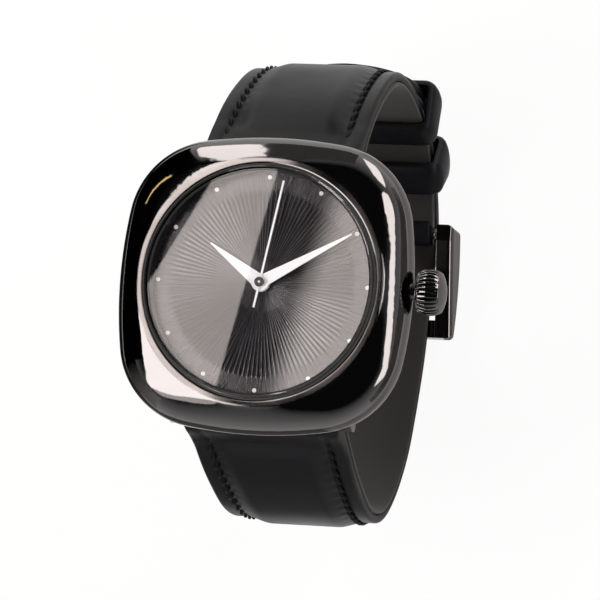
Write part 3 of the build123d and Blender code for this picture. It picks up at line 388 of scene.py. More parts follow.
def plated_movement(name, colour, grain_mm):
    """Movement metal, stamped and plated or left bare: satin, with a fine straight grain."""
    material, tree, place = new_material(name)
    stretch = add_node(tree, "Mapping", {"Scale": (1.0, 0.08, 1.0)}, place)
    grain = add_node(tree, "TexNoise", {"Scale": 1 / (grain_mm * MM), "Detail": 2.0},
                     {"Vector": (stretch, "Vector")})
    rough = add_node(tree, "ValToRGB", {"stops": ((0.3, 0.22), (0.7, 0.38))},
                     {"Fac": (grain, "Fac")})
    shader = add_node(tree, "BsdfPrincipled", {"Base Color": colour, "Metallic": 1.0},
                      {"Roughness": (rough, "Color")})
    return finished(material, shader)


def plain_moulded(name, colour, roughness, grain_mm):
    """Plastic or rubber from a mould: an even colour with a fine grain in the surface."""
    material, tree, place = new_material(name)
    grain = add_node(tree, "TexNoise", {"Scale": 1 / (grain_mm * MM), "Detail": 2.0}, place)
    bump = add_node(tree, "Bump", {"Strength": 0.15, "Distance": 0.02 * MM},
                    {"Height": (grain, "Fac")})
    shader = add_node(tree, "BsdfPrincipled",
                      {"Base Color": colour, "Roughness": roughness, "IOR": 1.5},
                      {"Normal": (bump, "Normal")})
    return finished(material, shader)


def copper_wire(colours):
    """Enamelled copper wire, wound: turns side by side, drawn 0.16 mm apart."""
    material, tree, place = new_material("enamelled_copper_winding")
    turns = add_node(tree, "TexWave", {"wave_type": "BANDS", "bands_direction": "X",
                                       "Scale": WAVE / (0.1578 * MM)}, place)
    bump = add_node(tree, "Bump", {"Strength": 0.5, "Distance": 0.04 * MM},
                    {"Height": (turns, "Fac")})
    shader = add_node(tree, "BsdfPrincipled",
                      {"Base Color": colours.copper, "Metallic": 1.0, "Roughness": 0.25,
                       "Coat Weight": 0.6, "Coat Roughness": 0.1}, {"Normal": (bump, "Normal")})
    return finished(material, shader)


def mineral_glass(colours):
    """Mineral glass, ground and polished: clear, with the sharp reflections of a flat pane. Light
    that goes to the dial passes straight through."""
    material, tree, _ = new_material("polished_mineral_glass")
    path = add_node(tree, "LightPath")
    glass = add_node(tree, "BsdfPrincipled", {"Base Color": colours.crystal, "Roughness": 0.0,
                                              "IOR": 1.52, "Transmission Weight": 1.0})
    clear = add_node(tree, "BsdfTransparent")
    either = add_node(tree, "Math", {"operation": "MAXIMUM"},
                      {0: (path, "Is Shadow Ray"), 1: (path, "Is Diffuse Ray")})
    mix = add_node(tree, "MixShader", None,
                   {"Fac": (either, "Value"), 1: (glass, 0), 2: (clear, 0)})
    return finished(material, mix)


def sunray_dial(colours):
    """Brass dial blank, struck with 120 rays from the centre, plated and lacquered nearly black.
    The walls of the rays catch the softboxes in turn, and the clear lacquer over them mirrors the
    panels in stripes. Painted shade darkens the rays' valleys and painted highlight lightens their
    crests. The ring that carries the dots stays plain."""
    material, tree, place = new_material("lacquered_sunray_brass")
    split = add_node(tree, "SeparateXYZ", None, place)
    angle = add_node(tree, "Math", {"operation": "ARCTAN2"}, {0: (split, "Y"), 1: (split, "X")})
    flat = add_node(tree, "VectorMath", {"operation": "MULTIPLY", 1: (1.0, 1.0, 0.0)},
                    {0: place["Vector"]})
    radius = add_node(tree, "VectorMath", {"operation": "LENGTH"}, {0: (flat, "Vector")})
    turns = add_node(tree, "Math", {"operation": "MULTIPLY", 1: 120.0}, {0: (angle, "Value")})
    wave = add_node(tree, "Math", {"operation": "SINE"}, {0: (turns, "Value")})
    struck = add_node(tree, "MapRange", {"From Min": 11.4 * MM, "From Max": 11.7 * MM,
                                         "To Min": 1.0, "To Max": 0.0},
                      {"Value": (radius, "Value")})
    depth = add_node(tree, "Math", {"operation": "MULTIPLY"},
                     {0: (wave, "Value"), 1: (struck, "Result")})
    # The rays grow deeper as they widen, so that their walls keep one slope
    deeper = add_node(tree, "Math", {"operation": "MULTIPLY"},
                      {0: (depth, "Value"), 1: (radius, "Value")})
    rays = add_node(tree, "Bump", {"Strength": 1.0, "Distance": 2.4 * MM},
                    {"Height": (deeper, "Value")})
    fine = add_node(tree, "TexNoise", {"noise_dimensions": "1D", "Scale": 60.0, "Detail": 2.0},
                    {"W": (angle, "Value")})
    rough = add_node(tree, "ValToRGB", {"stops": ((0.3, 0.24), (0.7, 0.36))},
                     {"Fac": (fine, "Fac")})
    # Painted light and shade: the colour runs from dark in the rays' valleys to pale on their
    # crests
    painted_ray_light_and_shade = add_node(tree, "ValToRGB", {"stops": ((0.0, shade(colours.dial, 0.4)),
                                                 (1.0, shade(colours.dial, 2.0)))},
                    {"Fac": (depth, "Value")})
    plain = add_node(tree, "Mix", {"data_type": "RGBA", 6: colours.dial},
                     {0: (struck, "Result"), 7: (painted_ray_light_and_shade, "Color")})
    shader = add_node(tree, "BsdfPrincipled",
                      {"Metallic": 0.9, "Coat Weight": 0.4, "Coat Roughness": 0.03},
                      {"Base Color": (plain, 2), "Roughness": (rough, "Color"),
                       "Normal": (rays, "Normal"), "Coat Normal": (rays, "Normal")})
    return finished(material, shader)


def white_lacquer(colours):
    """White lacquer on stamped brass: even and clean, with a soft gloss."""
    material, tree, place = new_material("white_lacquered_brass")
    peel = add_node(tree, "TexNoise", {"Scale": 1 / (0.6 * MM)}, place)
    bump = add_node(tree, "Bump", {"Strength": 0.05, "Distance": 0.01 * MM},
                    {"Height": (peel, "Fac")})
    shader = add_node(tree, "BsdfPrincipled",
                      {"Base Color": colours.white_paint, "Roughness": 0.3, "IOR": 1.5},
                      {"Normal": (bump, "Normal")})
    return finished(material, shader)


def glazed_leather(colours):
    """Calf leather, dyed black and glazed under pressure: nearly smooth, with a pore grain
    0.35 mm apart that only breaks up the edges of its dull reflections, and slow changes in
    gloss. The dye and finish sink in, so it reflects less than a lacquer."""
    material, tree, place = new_material("glazed_black_calf_leather")
    pores = add_node(tree, "TexVoronoi", {"Scale": 1 / (0.35 * MM), "Randomness": 1.0}, place)
    creases = add_node(tree, "TexNoise",
                       {"Scale": 1 / (2.5 * MM), "Detail": 4.0, "Roughness": 0.6}, place)
    cloud = add_node(tree, "TexNoise", {"Scale": 1 / (9 * MM), "Detail": 2.0}, place)
    rough = add_node(tree, "ValToRGB", {"stops": ((0.3, 0.34), (0.7, 0.44))},
                     {"Fac": (cloud, "Fac")})
    tint = add_node(tree, "ValToRGB", {"stops": ((0.35, shade(colours.leather, 1.0)),
                                                 (0.75, shade(colours.leather, 1.35)))},
                    {"Fac": (cloud, "Fac")})
    fine = add_node(tree, "Bump", {"Strength": 0.1, "Distance": 0.03 * MM},
                    {"Height": (pores, "Distance")})
    broad = add_node(tree, "Bump", {"Strength": 0.18, "Distance": 0.12 * MM},
                     {"Height": (creases, "Fac"), "Normal": (fine, "Normal")})
    shader = add_node(tree, "BsdfPrincipled",
                      {"IOR": 1.25, "Specular Tint": (0.92, 0.94, 1.0, 1.0)},
                      {"Base Color": (tint, "Color"), "Roughness": (rough, "Color"),
                       "Normal": (broad, "Normal")})
    return finished(material, shader)


def nubuck_lining(colours):
    """Calf leather lining, buffed: matt with a short nap and a faint stamped grain."""
    material, tree, place = new_material("buffed_nubuck_lining")
    nap = add_node(tree, "TexNoise", {"Scale": 1 / (0.25 * MM), "Detail": 3.0}, place)
    tint = add_node(tree, "ValToRGB", {"stops": ((0.3, shade(colours.lining, 0.75)),
                                                 (0.7, shade(colours.lining, 1.0)))},
                    {"Fac": (nap, "Fac")})
    bump = add_node(tree, "Bump", {"Strength": 0.3, "Distance": 0.04 * MM},
                    {"Height": (nap, "Fac")})
    shader = add_node(tree, "BsdfPrincipled",
                      {"Roughness": 0.75, "IOR": 1.45, "Sheen Weight": 0.15,
                       "Sheen Roughness": 0.5},
                      {"Base Color": (tint, "Color"), "Normal": (bump, "Normal")})
    return finished(material, shader)


def waxed_thread(colours):
    """Polyester thread, twisted and waxed: dull and blacker than the leather. Its plies are
    drawn 1.2 mm apart, coarser than real ones, so that they show."""
    material, tree, place = new_material("waxed_polyester_thread")
    # Diagonal bands lie twice as far apart, measured along an axis
    plies = add_node(tree, "TexWave", {"wave_type": "BANDS", "bands_direction": "DIAGONAL",
                                       "Scale": 2 * WAVE / (1.1837 * MM)}, place)
    bump = add_node(tree, "Bump", {"Strength": 0.5, "Distance": 0.05 * MM},
                    {"Height": (plies, "Fac")})
    shader = add_node(tree, "BsdfPrincipled",
                      {"Base Color": colours.thread, "Roughness": 0.5, "IOR": 1.22},
                      {"Normal": (bump, "Normal")})
    return finished(material, shader)


# Settings

class WatchColours(bpy.types.PropertyGroup):
    """Colours of the watch's finishes"""
    black_steel: colour_prop("Black steel", "#686666", "Reflection colour of the coated steel")
    bare_steel: colour_prop("Bare steel", "#b9b7b3", "Reflection colour of bare stainless steel")
    back_steel: colour_prop("Case back", "#8b8987", "Reflection colour of the case back")
    crystal: colour_prop("Crystal", "#ffffff", "Tint of the glass")
    flange: colour_prop("Flange ring", "#080808", "Moulded ring round the dial")
    dial: colour_prop("Dial", "#333235", "Lacquer of the dial")
    white_paint: colour_prop("White paint", "#f1f2f5", "Hands and hour dots")
    cap: colour_prop("Hand cap", "#101010", "Black lacquered cap over the hands")
    leather: colour_prop("Leather", "#0c0c0f", "Outer leather of the strap")
    lining: colour_prop("Lining", "#131110", "Lining leather of the strap")
    thread: colour_prop("Thread", "#0b0b0c", "Stitching thread")
    plate: colour_prop("Movement plates", "#c6c0b2", "Nickel-plated plates")
    brass: colour_prop("Brass", "#d8b066", "Wheels and pinions")
    copper: colour_prop("Copper", "#b86a43", "Coil winding")
    iron: colour_prop("Iron", "#77736f", "Stator and coil core")
    board: colour_prop("Circuit board", "#1d4a2c", "Solder mask")
    ring: colour_prop("Movement ring", "#d0cec7", "Moulded ring round the movement")
    rubber: colour_prop("Rubber", "#0d0d0d", "Gaskets")


class StrapSizes(bpy.types.PropertyGroup):
    """Sizes of the straps and their stitching"""
    width: length_prop("Width at case", 20.0, "Width of the strap beside the case")
    buckle_width: length_prop("Width at buckle", 18.0, "Width of the strap beside the buckle")
    thickness: length_prop("Thickness", 2.3, "Thickness of the 12 o'clock strap")
    tail_thickness: length_prop("Tail thickness", 2.2, "Thickness of the 6 o'clock strap")
    lining: length_prop("Lining", 0.6, "Thickness of the lining leather")
    crown: length_prop("Crown", 0.32, "How far the padding lifts the middle of the strap")
    edge_drop: length_prop("Edge drop", 0.42, "How far the edge lies below the padded middle")
    edge_margin: length_prop("Stitch margin", 2.2, "Distance of the stitches from the edge")
    stitch_pitch: length_prop("Stitch pitch", 2.05, "Distance from stitch to stitch")
    stitch_length: length_prop("Stitch length", 2.15, "Length of each stitch")
    thread: length_prop("Thread", 0.56, "Thickness of the thread")
    keeper_gap: length_prop("Keeper gap", 0.32, "Gap between keeper and strap")
    keeper_wall: length_prop("Keeper wall", 1.4, "Thickness of a keeper")
    keeper_width: length_prop("Keeper width", 5.2, "Width of a keeper along the strap")


class StudioSettings(bpy.types.PropertyGroup):
    """Light and camera"""
    lens: bpy.props.FloatProperty(name="Lens", description="Focal length", unit="CAMERA",
                                  default=244.7)
    view_distance: length_prop("View distance", 500.0, "Distance of the camera from the case")
    distance: length_prop("Lamp distance", 700.0, "Distance of the softboxes from the case")
    ambient: bpy.props.FloatProperty(name="Ambient", default=0.22,
                                     description="Strength of the plain pale light")
    floor_glow: bpy.props.FloatProperty(name="Floor glow", subtype="FACTOR", min=0.0, max=1.0,
                                        description="Share of pure white in the floor as it is "
                                        "seen", default=0.92)
    paper: colour_prop("Paper", "#ffffff", "Paper of the floor")
    softbox: colour_prop("Softboxes", "#fff9f6", "Light of the softboxes")
    panel: colour_prop("Panels", "#fff4ee", "Light of the panels over the crystal")
    gold: colour_prop("Gold lamp", "#ffdb98", "Light of the gold lamp")


# Sections of the straps, in millimetres

def strap_half_width(sizes, z):
    """Half of the strap's width at a height."""
    share = min(max(z / BUCKLE_PIN[1], 0.0), 1.0)
    return (sizes.width + (sizes.buckle_width - sizes.width) * share) / MM / 2


def ease(value):
    """0 to 1 with soft ends."""
    value = min(max(value, 0.0), 1.0)
    return value * value * (3 - 2 * value)


def pad_share(s, end):
    """How full the padding is at a length: it rises from the lug and fades before the keepers."""
    return ease((s - PAD_START) / 4.0) * ease((end - s) / 7.0)


def top_height(sizes, thickness, half, x, s, pad):
    """Height of the leather's outer face above the mid-line: a flat edge, a stitch groove and
    the padded middle, with small puckers between the stitches."""
    distance = half - sizes.edge_margin / MM - abs(x)
    edge = thickness / 2 - sizes.edge_drop / MM * pad
    rise = ease((distance + 0.2) / PAD_SLOPE)
    middle = (thickness / 2 + sizes.crown / MM * pad - edge) * rise
    groove = GROOVE_DEPTH * math.exp(-(distance / GROOVE_WIDTH) ** 2)
    # The puckers keep to the stitches, and some are higher than others
    wave = math.cos(2 * math.pi * s / (sizes.stitch_pitch / MM)) * (1 + 0.5 * math.sin(2.3 * s))
    nearness = math.exp(-((distance - PUCKER_PLACE) / PUCKER_WIDTH) ** 2)
    return edge + middle - groove + PUCKER_HEIGHT * pad * nearness * wave


def outer_ring(sizes, line, s, thickness, lining, half, pad):
    """Section of the outer leather with turned edges, as points in the row frame."""
    low = -thickness / 2 + lining
    side = half - TURNED_EDGE
    edge_top = top_height(sizes, thickness, half, half, s, pad)
    middle, reach = (edge_top + low) / 2, (edge_top - low) / 2

    def turned(x, start, end):
        """A rounded edge about a place, from angle to angle in degrees."""
        return [(x + TURNED_EDGE * math.cos(a), middle + reach * math.sin(a))
                for a in np.radians(np.linspace(start, end, 9))]

    ring = [(-side, low), (side, low), *turned(side, -80, 80)]
    ring += [(x, top_height(sizes, thickness, half, x, s, pad))
             for x in np.linspace(side, -side, 56)]
    return [line.place(s, x, h) for x, h in ring + turned(-side, 100, 260)]


def lining_ring(line, s, thickness, lining, half):
    """Section of the lining, a thin flat leather with rounded edges."""
    low, high = -thickness / 2, -thickness / 2 + lining - 0.02
    middle, reach = (low + high) / 2, (high - low) / 2
    side = half - 0.22
    turns = np.radians((-55, -20, 20, 55))
    ring = [(x, low) for x in np.linspace(-side, side, 12)]
    ring += [(side + reach * math.cos(a), middle + reach * math.sin(a)) for a in turns]
    ring += [(x, high) for x in np.linspace(side, -side, 12)]
    ring += [(-side - reach * math.cos(a), middle + reach * math.sin(a)) for a in turns[::-1]]
    return [line.place(s, x, h) for x, h in ring]


def strap_stations(length):
    """Lengths at which a strap with a loop at both ends gets its sections."""
    bend = [LOOP_RADIUS * (1 - math.cos(a)) for a in np.radians((4, 15, 27, 40, 52, 65, 78))]
    return ([b - LOOP_RADIUS for b in bend] + list(np.arange(0.0, length, SECTION_STEP))
            + [length] + [length + LOOP_RADIUS - b for b in reversed(bend)])


def end_ring(sizes, line, s, thickness, lining, half, pad, end):
    """Section of the outer leather, which thickens to a round loop at the lug and at an end."""
    inside = min(s, end - s)
    if inside < 0:
        height = math.sqrt(max(LOOP_RADIUS ** 2 - inside ** 2, 0.0))
        return outer_ring(sizes, line, s, 2 * height, 0.0, half, pad)
    height = LOOP_RADIUS + (thickness / 2 - LOOP_RADIUS) * ease(inside / LOOP_BLEND)
    lining *= ease((inside - 1.6) / 0.8)
    return outer_ring(sizes, line, s, 2 * height, lining, half, pad)


def stitch(line, sizes, mesh, s, x, height, slant):
    """One stitch: a short arched run of thread whose ends dive into the leather."""
    radius = sizes.thread / MM / 2
    reach = sizes.stitch_length / MM / 2
    rings = []
    for step in np.linspace(-1, 1, 9):
        lift = radius * (0.75 - 1.5 * abs(step) ** 3)
        middle = line.place(s + step * reach, x + slant * step, height + lift)
        up = Vector((0, *line.at(s + step * reach)[2]))
        swell = 1.0 - 0.35 * float(step) ** 2
        rings.append(circle(middle, radius * MM * swell, Vector((1, 0, 0)), up, STITCH_SIDES))
    join_rings(mesh, rings)


# Operators

class WatchOperator:
    """What the watch's operators share"""
    bl_options = {"REGISTER", "UNDO"}


class WATCH_OT_case(WatchOperator, bpy.types.Operator):
    """Finish the case, crown, case back and their seals"""
    bl_idname = "watch.case"
    bl_label = "Case and crown"

    def execute(self, context):
        colours = context.scene.watch_colours
        dress(black_pvd_steel("black_pvd_polished_case_steel", colours, 0.35), "case_body")
        dress(black_pvd_steel("black_pvd_polished_small_steel", colours, 0.12), "crown",
              "buckle_frame", "buckle_prong", "crown_tube")
        dress(turned_steel(colours), "winding_stem")
        dress(plated_movement("brushed_case_back_steel", colours.back_steel, 0.15), "case_back")
        dress(plain_moulded("moulded_gasket_rubber", colours.rubber, 0.55, 0.3),
              "crystal_gasket", "case_back_gasket", "crown_gasket")
        dress(plain_moulded("moulded_black_flange_ring", colours.flange, 0.4, 0.2), "dial_flange")
        dress(plain_moulded("moulded_movement_ring_polymer", colours.ring, 0.5, 0.3),
              "movement_ring")
        return {"FINISHED"}


class WATCH_OT_crystal(WatchOperator, bpy.types.Operator):
    """Finish the crystal"""
    bl_idname = "watch.crystal"
    bl_label = "Crystal"

    def execute(self, context):
        dress(mineral_glass(context.scene.watch_colours), "crystal")
        return {"FINISHED"}


class WATCH_OT_dial(WatchOperator, bpy.types.Operator):
    """Finish the dial, its dots and the hands"""
    bl_idname = "watch.dial"
    bl_label = "Dial and hands"

    def execute(self, context):
        colours = context.scene.watch_colours
        dress(sunray_dial(colours), "dial")
        dress(white_lacquer(colours), "hour_dots", "hour_hand", "minute_hand", "seconds_hand")
        dress(plain_moulded("black_lacquered_cap", colours.cap, 0.12, 0.3), "seconds_cap")
        return {"FINISHED"}


class WATCH_OT_movement(WatchOperator, bpy.types.Operator):
    """Finish the movement's plates, train, motor and setting parts, and the spring bars"""
    bl_idname = "watch.movement"
    bl_label = "Movement"

    def execute(self, context):
        colours = context.scene.watch_colours
        dress(plated_movement("nickel_plated_brass_plate", colours.plate, 0.2), "main_plate",
              "train_bridge")
        dress(plated_movement("cut_brass_wheel", colours.brass, 0.1), "centre_wheel",
              "cannon_pinion", "minute_wheel", "hour_wheel", "third_wheel", "intermediate_wheel")
        dress(plated_movement("annealed_iron_core", colours.iron, 0.15), "stator", "coil_core",
              "rotor")
        bars = [bar + part for bar in ("strap_12_bar", "strap_6_bar", "buckle_bar")
                for part in ("", "_spring", "_tip_left", "_tip_right")]
        dress(plated_movement("stamped_spring_steel", colours.bare_steel, 0.12), "seconds_wheel",
              "bridge_screws", "quartz_can", "battery", "battery_clamp", "sliding_pinion",
              "setting_lever", *bars)
        dress(copper_wire(colours), "coil_winding")
        dress(plain_moulded("solder_mask_laminate", colours.board, 0.35, 0.2), "circuit_board")
        return {"FINISHED"}


class WATCH_OT_strap_12(WatchOperator, bpy.types.Operator):
    """Make the 12 o'clock strap: padded outer leather with turned edges, and its lining"""
    bl_idname = "watch.strap_12"
    bl_label = "12 o'clock strap"

    def execute(self, context):
        sizes = context.scene.strap_sizes
        line, _ = strap_lines(sizes)
        leather = glazed_leather(context.scene.watch_colours)
        thickness, lining = sizes.thickness / MM, sizes.lining / MM
        rings = []
        for s in strap_stations(line.length):
            half = strap_half_width(sizes, line.at(s)[0][1])
            pad = pad_share(s, PAD_END_12 * line.length)
            rings.append(end_ring(sizes, line, s, thickness, lining, half, pad, line.length))
        outer = skin("strap_12_outer_leather", rings, leather)
        cut(outer, [bore(LUG_PIN), bore(BUCKLE_PIN), prong_slot(*SLOT_12)])
        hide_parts("strap_12_outer", "strap_12_padding")
        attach(outer, "case")
        ends = LOOP_RADIUS + 0.1
        low_rings = [lining_ring(line, s, thickness, lining,
                                 strap_half_width(sizes, line.at(s)[0][1]))
                     for s in np.linspace(ends, line.length - ends, 140)]
        inner = skin("strap_12_lining_leather", low_rings,
                     nubuck_lining(context.scene.watch_colours))
        cut(inner, [prong_slot(*SLOT_12)])
        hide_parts("strap_12_lining")
        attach(inner, "case")
        return {"FINISHED"}


class WATCH_OT_strap_6(WatchOperator, bpy.types.Operator):
    """Make the 6 o'clock strap: padded outer leather, lining, round tail, prong slot and holes"""
    bl_idname = "watch.strap_6"
    bl_label = "6 o'clock strap"

    def execute(self, context):
        sizes = context.scene.strap_sizes
        _, line = strap_lines(sizes)
        thickness, lining = sizes.tail_thickness / MM, sizes.lining / MM
        stations = [s for s in strap_stations(line.length) if s < line.length - TIP_LENGTH]
        stations += [line.length - TIP_LENGTH * (1 - math.sin(a))
                     for a in np.radians(np.linspace(0, 86, 26))]
        rings, low_rings = [], []
        for s in stations:
            half = self.tail_half(sizes, line, s)
            pad = pad_share(s, PAD_END_6 * line.length)
            # The tail has no loop, so its end is set far beyond it
            rings.append(end_ring(sizes, line, s, thickness, lining, half, pad, 2 * line.length))
            if s > LOOP_RADIUS + 0.1:
                low_rings.append(lining_ring(line, s, thickness, lining, half))
        outer = skin("strap_6_outer_leather", rings,
                     bpy.data.materials["glazed_black_calf_leather"])
        inner = skin("strap_6_lining_leather", low_rings,
                     bpy.data.materials["buffed_nubuck_lining"])
        cut(outer, self.holes(line) + [bore(LUG_PIN_6)])
        cut(inner, self.holes(line))
        for piece, slot, nodes in (
                (outer, "strap_leather", ("strap_6_outer", "strap_6_padding")),
                (inner, "lining_leather", ("strap_6_lining",))):
            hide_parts(*nodes)
            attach(piece, "case")
        return {"FINISHED"}

    def tail_half(self, sizes, line, s):
        """Half width, narrowing round the tail's tip."""
        half = strap_half_width(sizes, line.at(s)[0][1])
        if s > TAIL_START:
            half = sizes.buckle_width / MM / 2
        beyond = s - (line.length - TIP_LENGTH)
        if beyond <= 0:
            return half
        return max(half * math.sqrt(max(1 - (beyond / TIP_LENGTH) ** 2, 0.0)), 0.6)

    def holes(self, line):
        """Cutters for the adjustment holes and the prong's slot."""
        cutters = []
        for step in HOLE_STEPS:
            s = BUCKLED_SHARE * line.length + step * HOLE_PITCH
            cutters.append(round_bar("hole", line.place(s, 0, -3.0), line.place(s, 0, 3.0),
                                     BAR_RADIUS * MM))
        return cutters + [prong_slot(*SLOT_6)]


class WATCH_OT_stitching(WatchOperator, bpy.types.Operator):
    """Sew both straps along their edges"""
    bl_idname = "watch.stitching"
    bl_label = "Stitching"

    def execute(self, context):
        sizes = context.scene.strap_sizes
        thread = waxed_thread(context.scene.watch_colours)
        line_12, line_6 = strap_lines(sizes)
        pitch = sizes.stitch_pitch / MM
        first = pitch * math.ceil(FIRST_STITCH / pitch)
        for name, line, thickness, last, pad_end in (
                ("strap_12_stitching", line_12, sizes.thickness / MM, LAST_STITCH_12, PAD_END_12),
                ("strap_6_stitching", line_6, sizes.tail_thickness / MM, LAST_STITCH_6,
                 PAD_END_6)):
            mesh = bmesh.new()
            for s in np.arange(first, line.length - last, pitch):
                pad = pad_share(s, pad_end * line.length)
                half = strap_half_width(sizes, line.at(s)[0][1])
                if line is line_6 and s > TAIL_START:
                    half = sizes.buckle_width / MM / 2
                for side in (-1, 1):
                    x = side * (half - sizes.edge_margin / MM)
                    # Where the strap is flat the thread lies sunk, and the keepers pass over it
                    height = (top_height(sizes, thickness, half, x, s, pad)
                              + 0.05 - 0.35 * (1 - pad))
                    stitch(line, sizes, mesh, s, x, height, STITCH_SLANT * side)
            piece = mesh_object(name, mesh, thread)
            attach(piece, "case")
        return {"FINISHED"}


class WATCH_OT_keepers(WatchOperator, bpy.types.Operator):
    """Make the fixed and the floating keeper: folded leather bands round both straps"""
    bl_idname = "watch.keepers"
    bl_label = "Keepers"

    def execute(self, context):
        sizes = context.scene.strap_sizes
        line, _ = strap_lines(sizes)
        for name, node, body, share in (
                ("fixed_keeper_leather", "fixed_keeper", "case", 0.865),
                ("floating_keeper_leather", "floating_keeper", "floating_keeper", 0.715)):
            piece = self.band(name, sizes, line, share * line.length)
            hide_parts(node)
            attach(piece, body)
        return {"FINISHED"}

    def band(self, name, sizes, line, s):
        """A band with rounded corners and a puffed outer face that follows the strap."""
        gap, wall, width = (size / MM for size in (sizes.keeper_gap, sizes.keeper_wall,
                                                   sizes.keeper_width))
        half = strap_half_width(sizes, line.at(s - width / 2 - 1.0)[0][1]) + gap
        low = -sizes.thickness / MM / 2 - gap
        high = sizes.thickness / MM / 2 + sizes.tail_thickness / MM + 2 * gap
        corner, edge = 0.55, 0.2
        profile = [(-width / 2 + edge, 0.0)]
        for a in np.radians(np.linspace(0, 180, 17)):
            profile.append((-width / 2 * math.cos(a),
                            edge + (wall - edge) * math.sin(a) ** 0.6))
        profile.append((width / 2 - edge, 0.0))
        mesh = bmesh.new()
        rows = []
        for corner_x, corner_z, start in ((half, high, 0), (-half, high, 90), (-half, low, 180),
                                          (half, low, 270)):
            x = corner_x - math.copysign(corner, corner_x)
            z = corner_z - math.copysign(corner, corner_z)
            for a in np.radians(np.linspace(start, start + 90, 7)):
                rows.append([mesh.verts.new(line.place(s + along, x + (corner + out) * math.cos(a),
                                                       z + (corner + out) * math.sin(a)))
                             for along, out in profile])
        join_rows(mesh, rows + rows[:1])
        bmesh.ops.recalc_face_normals(mesh, faces=mesh.faces)
        return mesh_object(name, mesh, bpy.data.materials["glazed_black_calf_leather"])


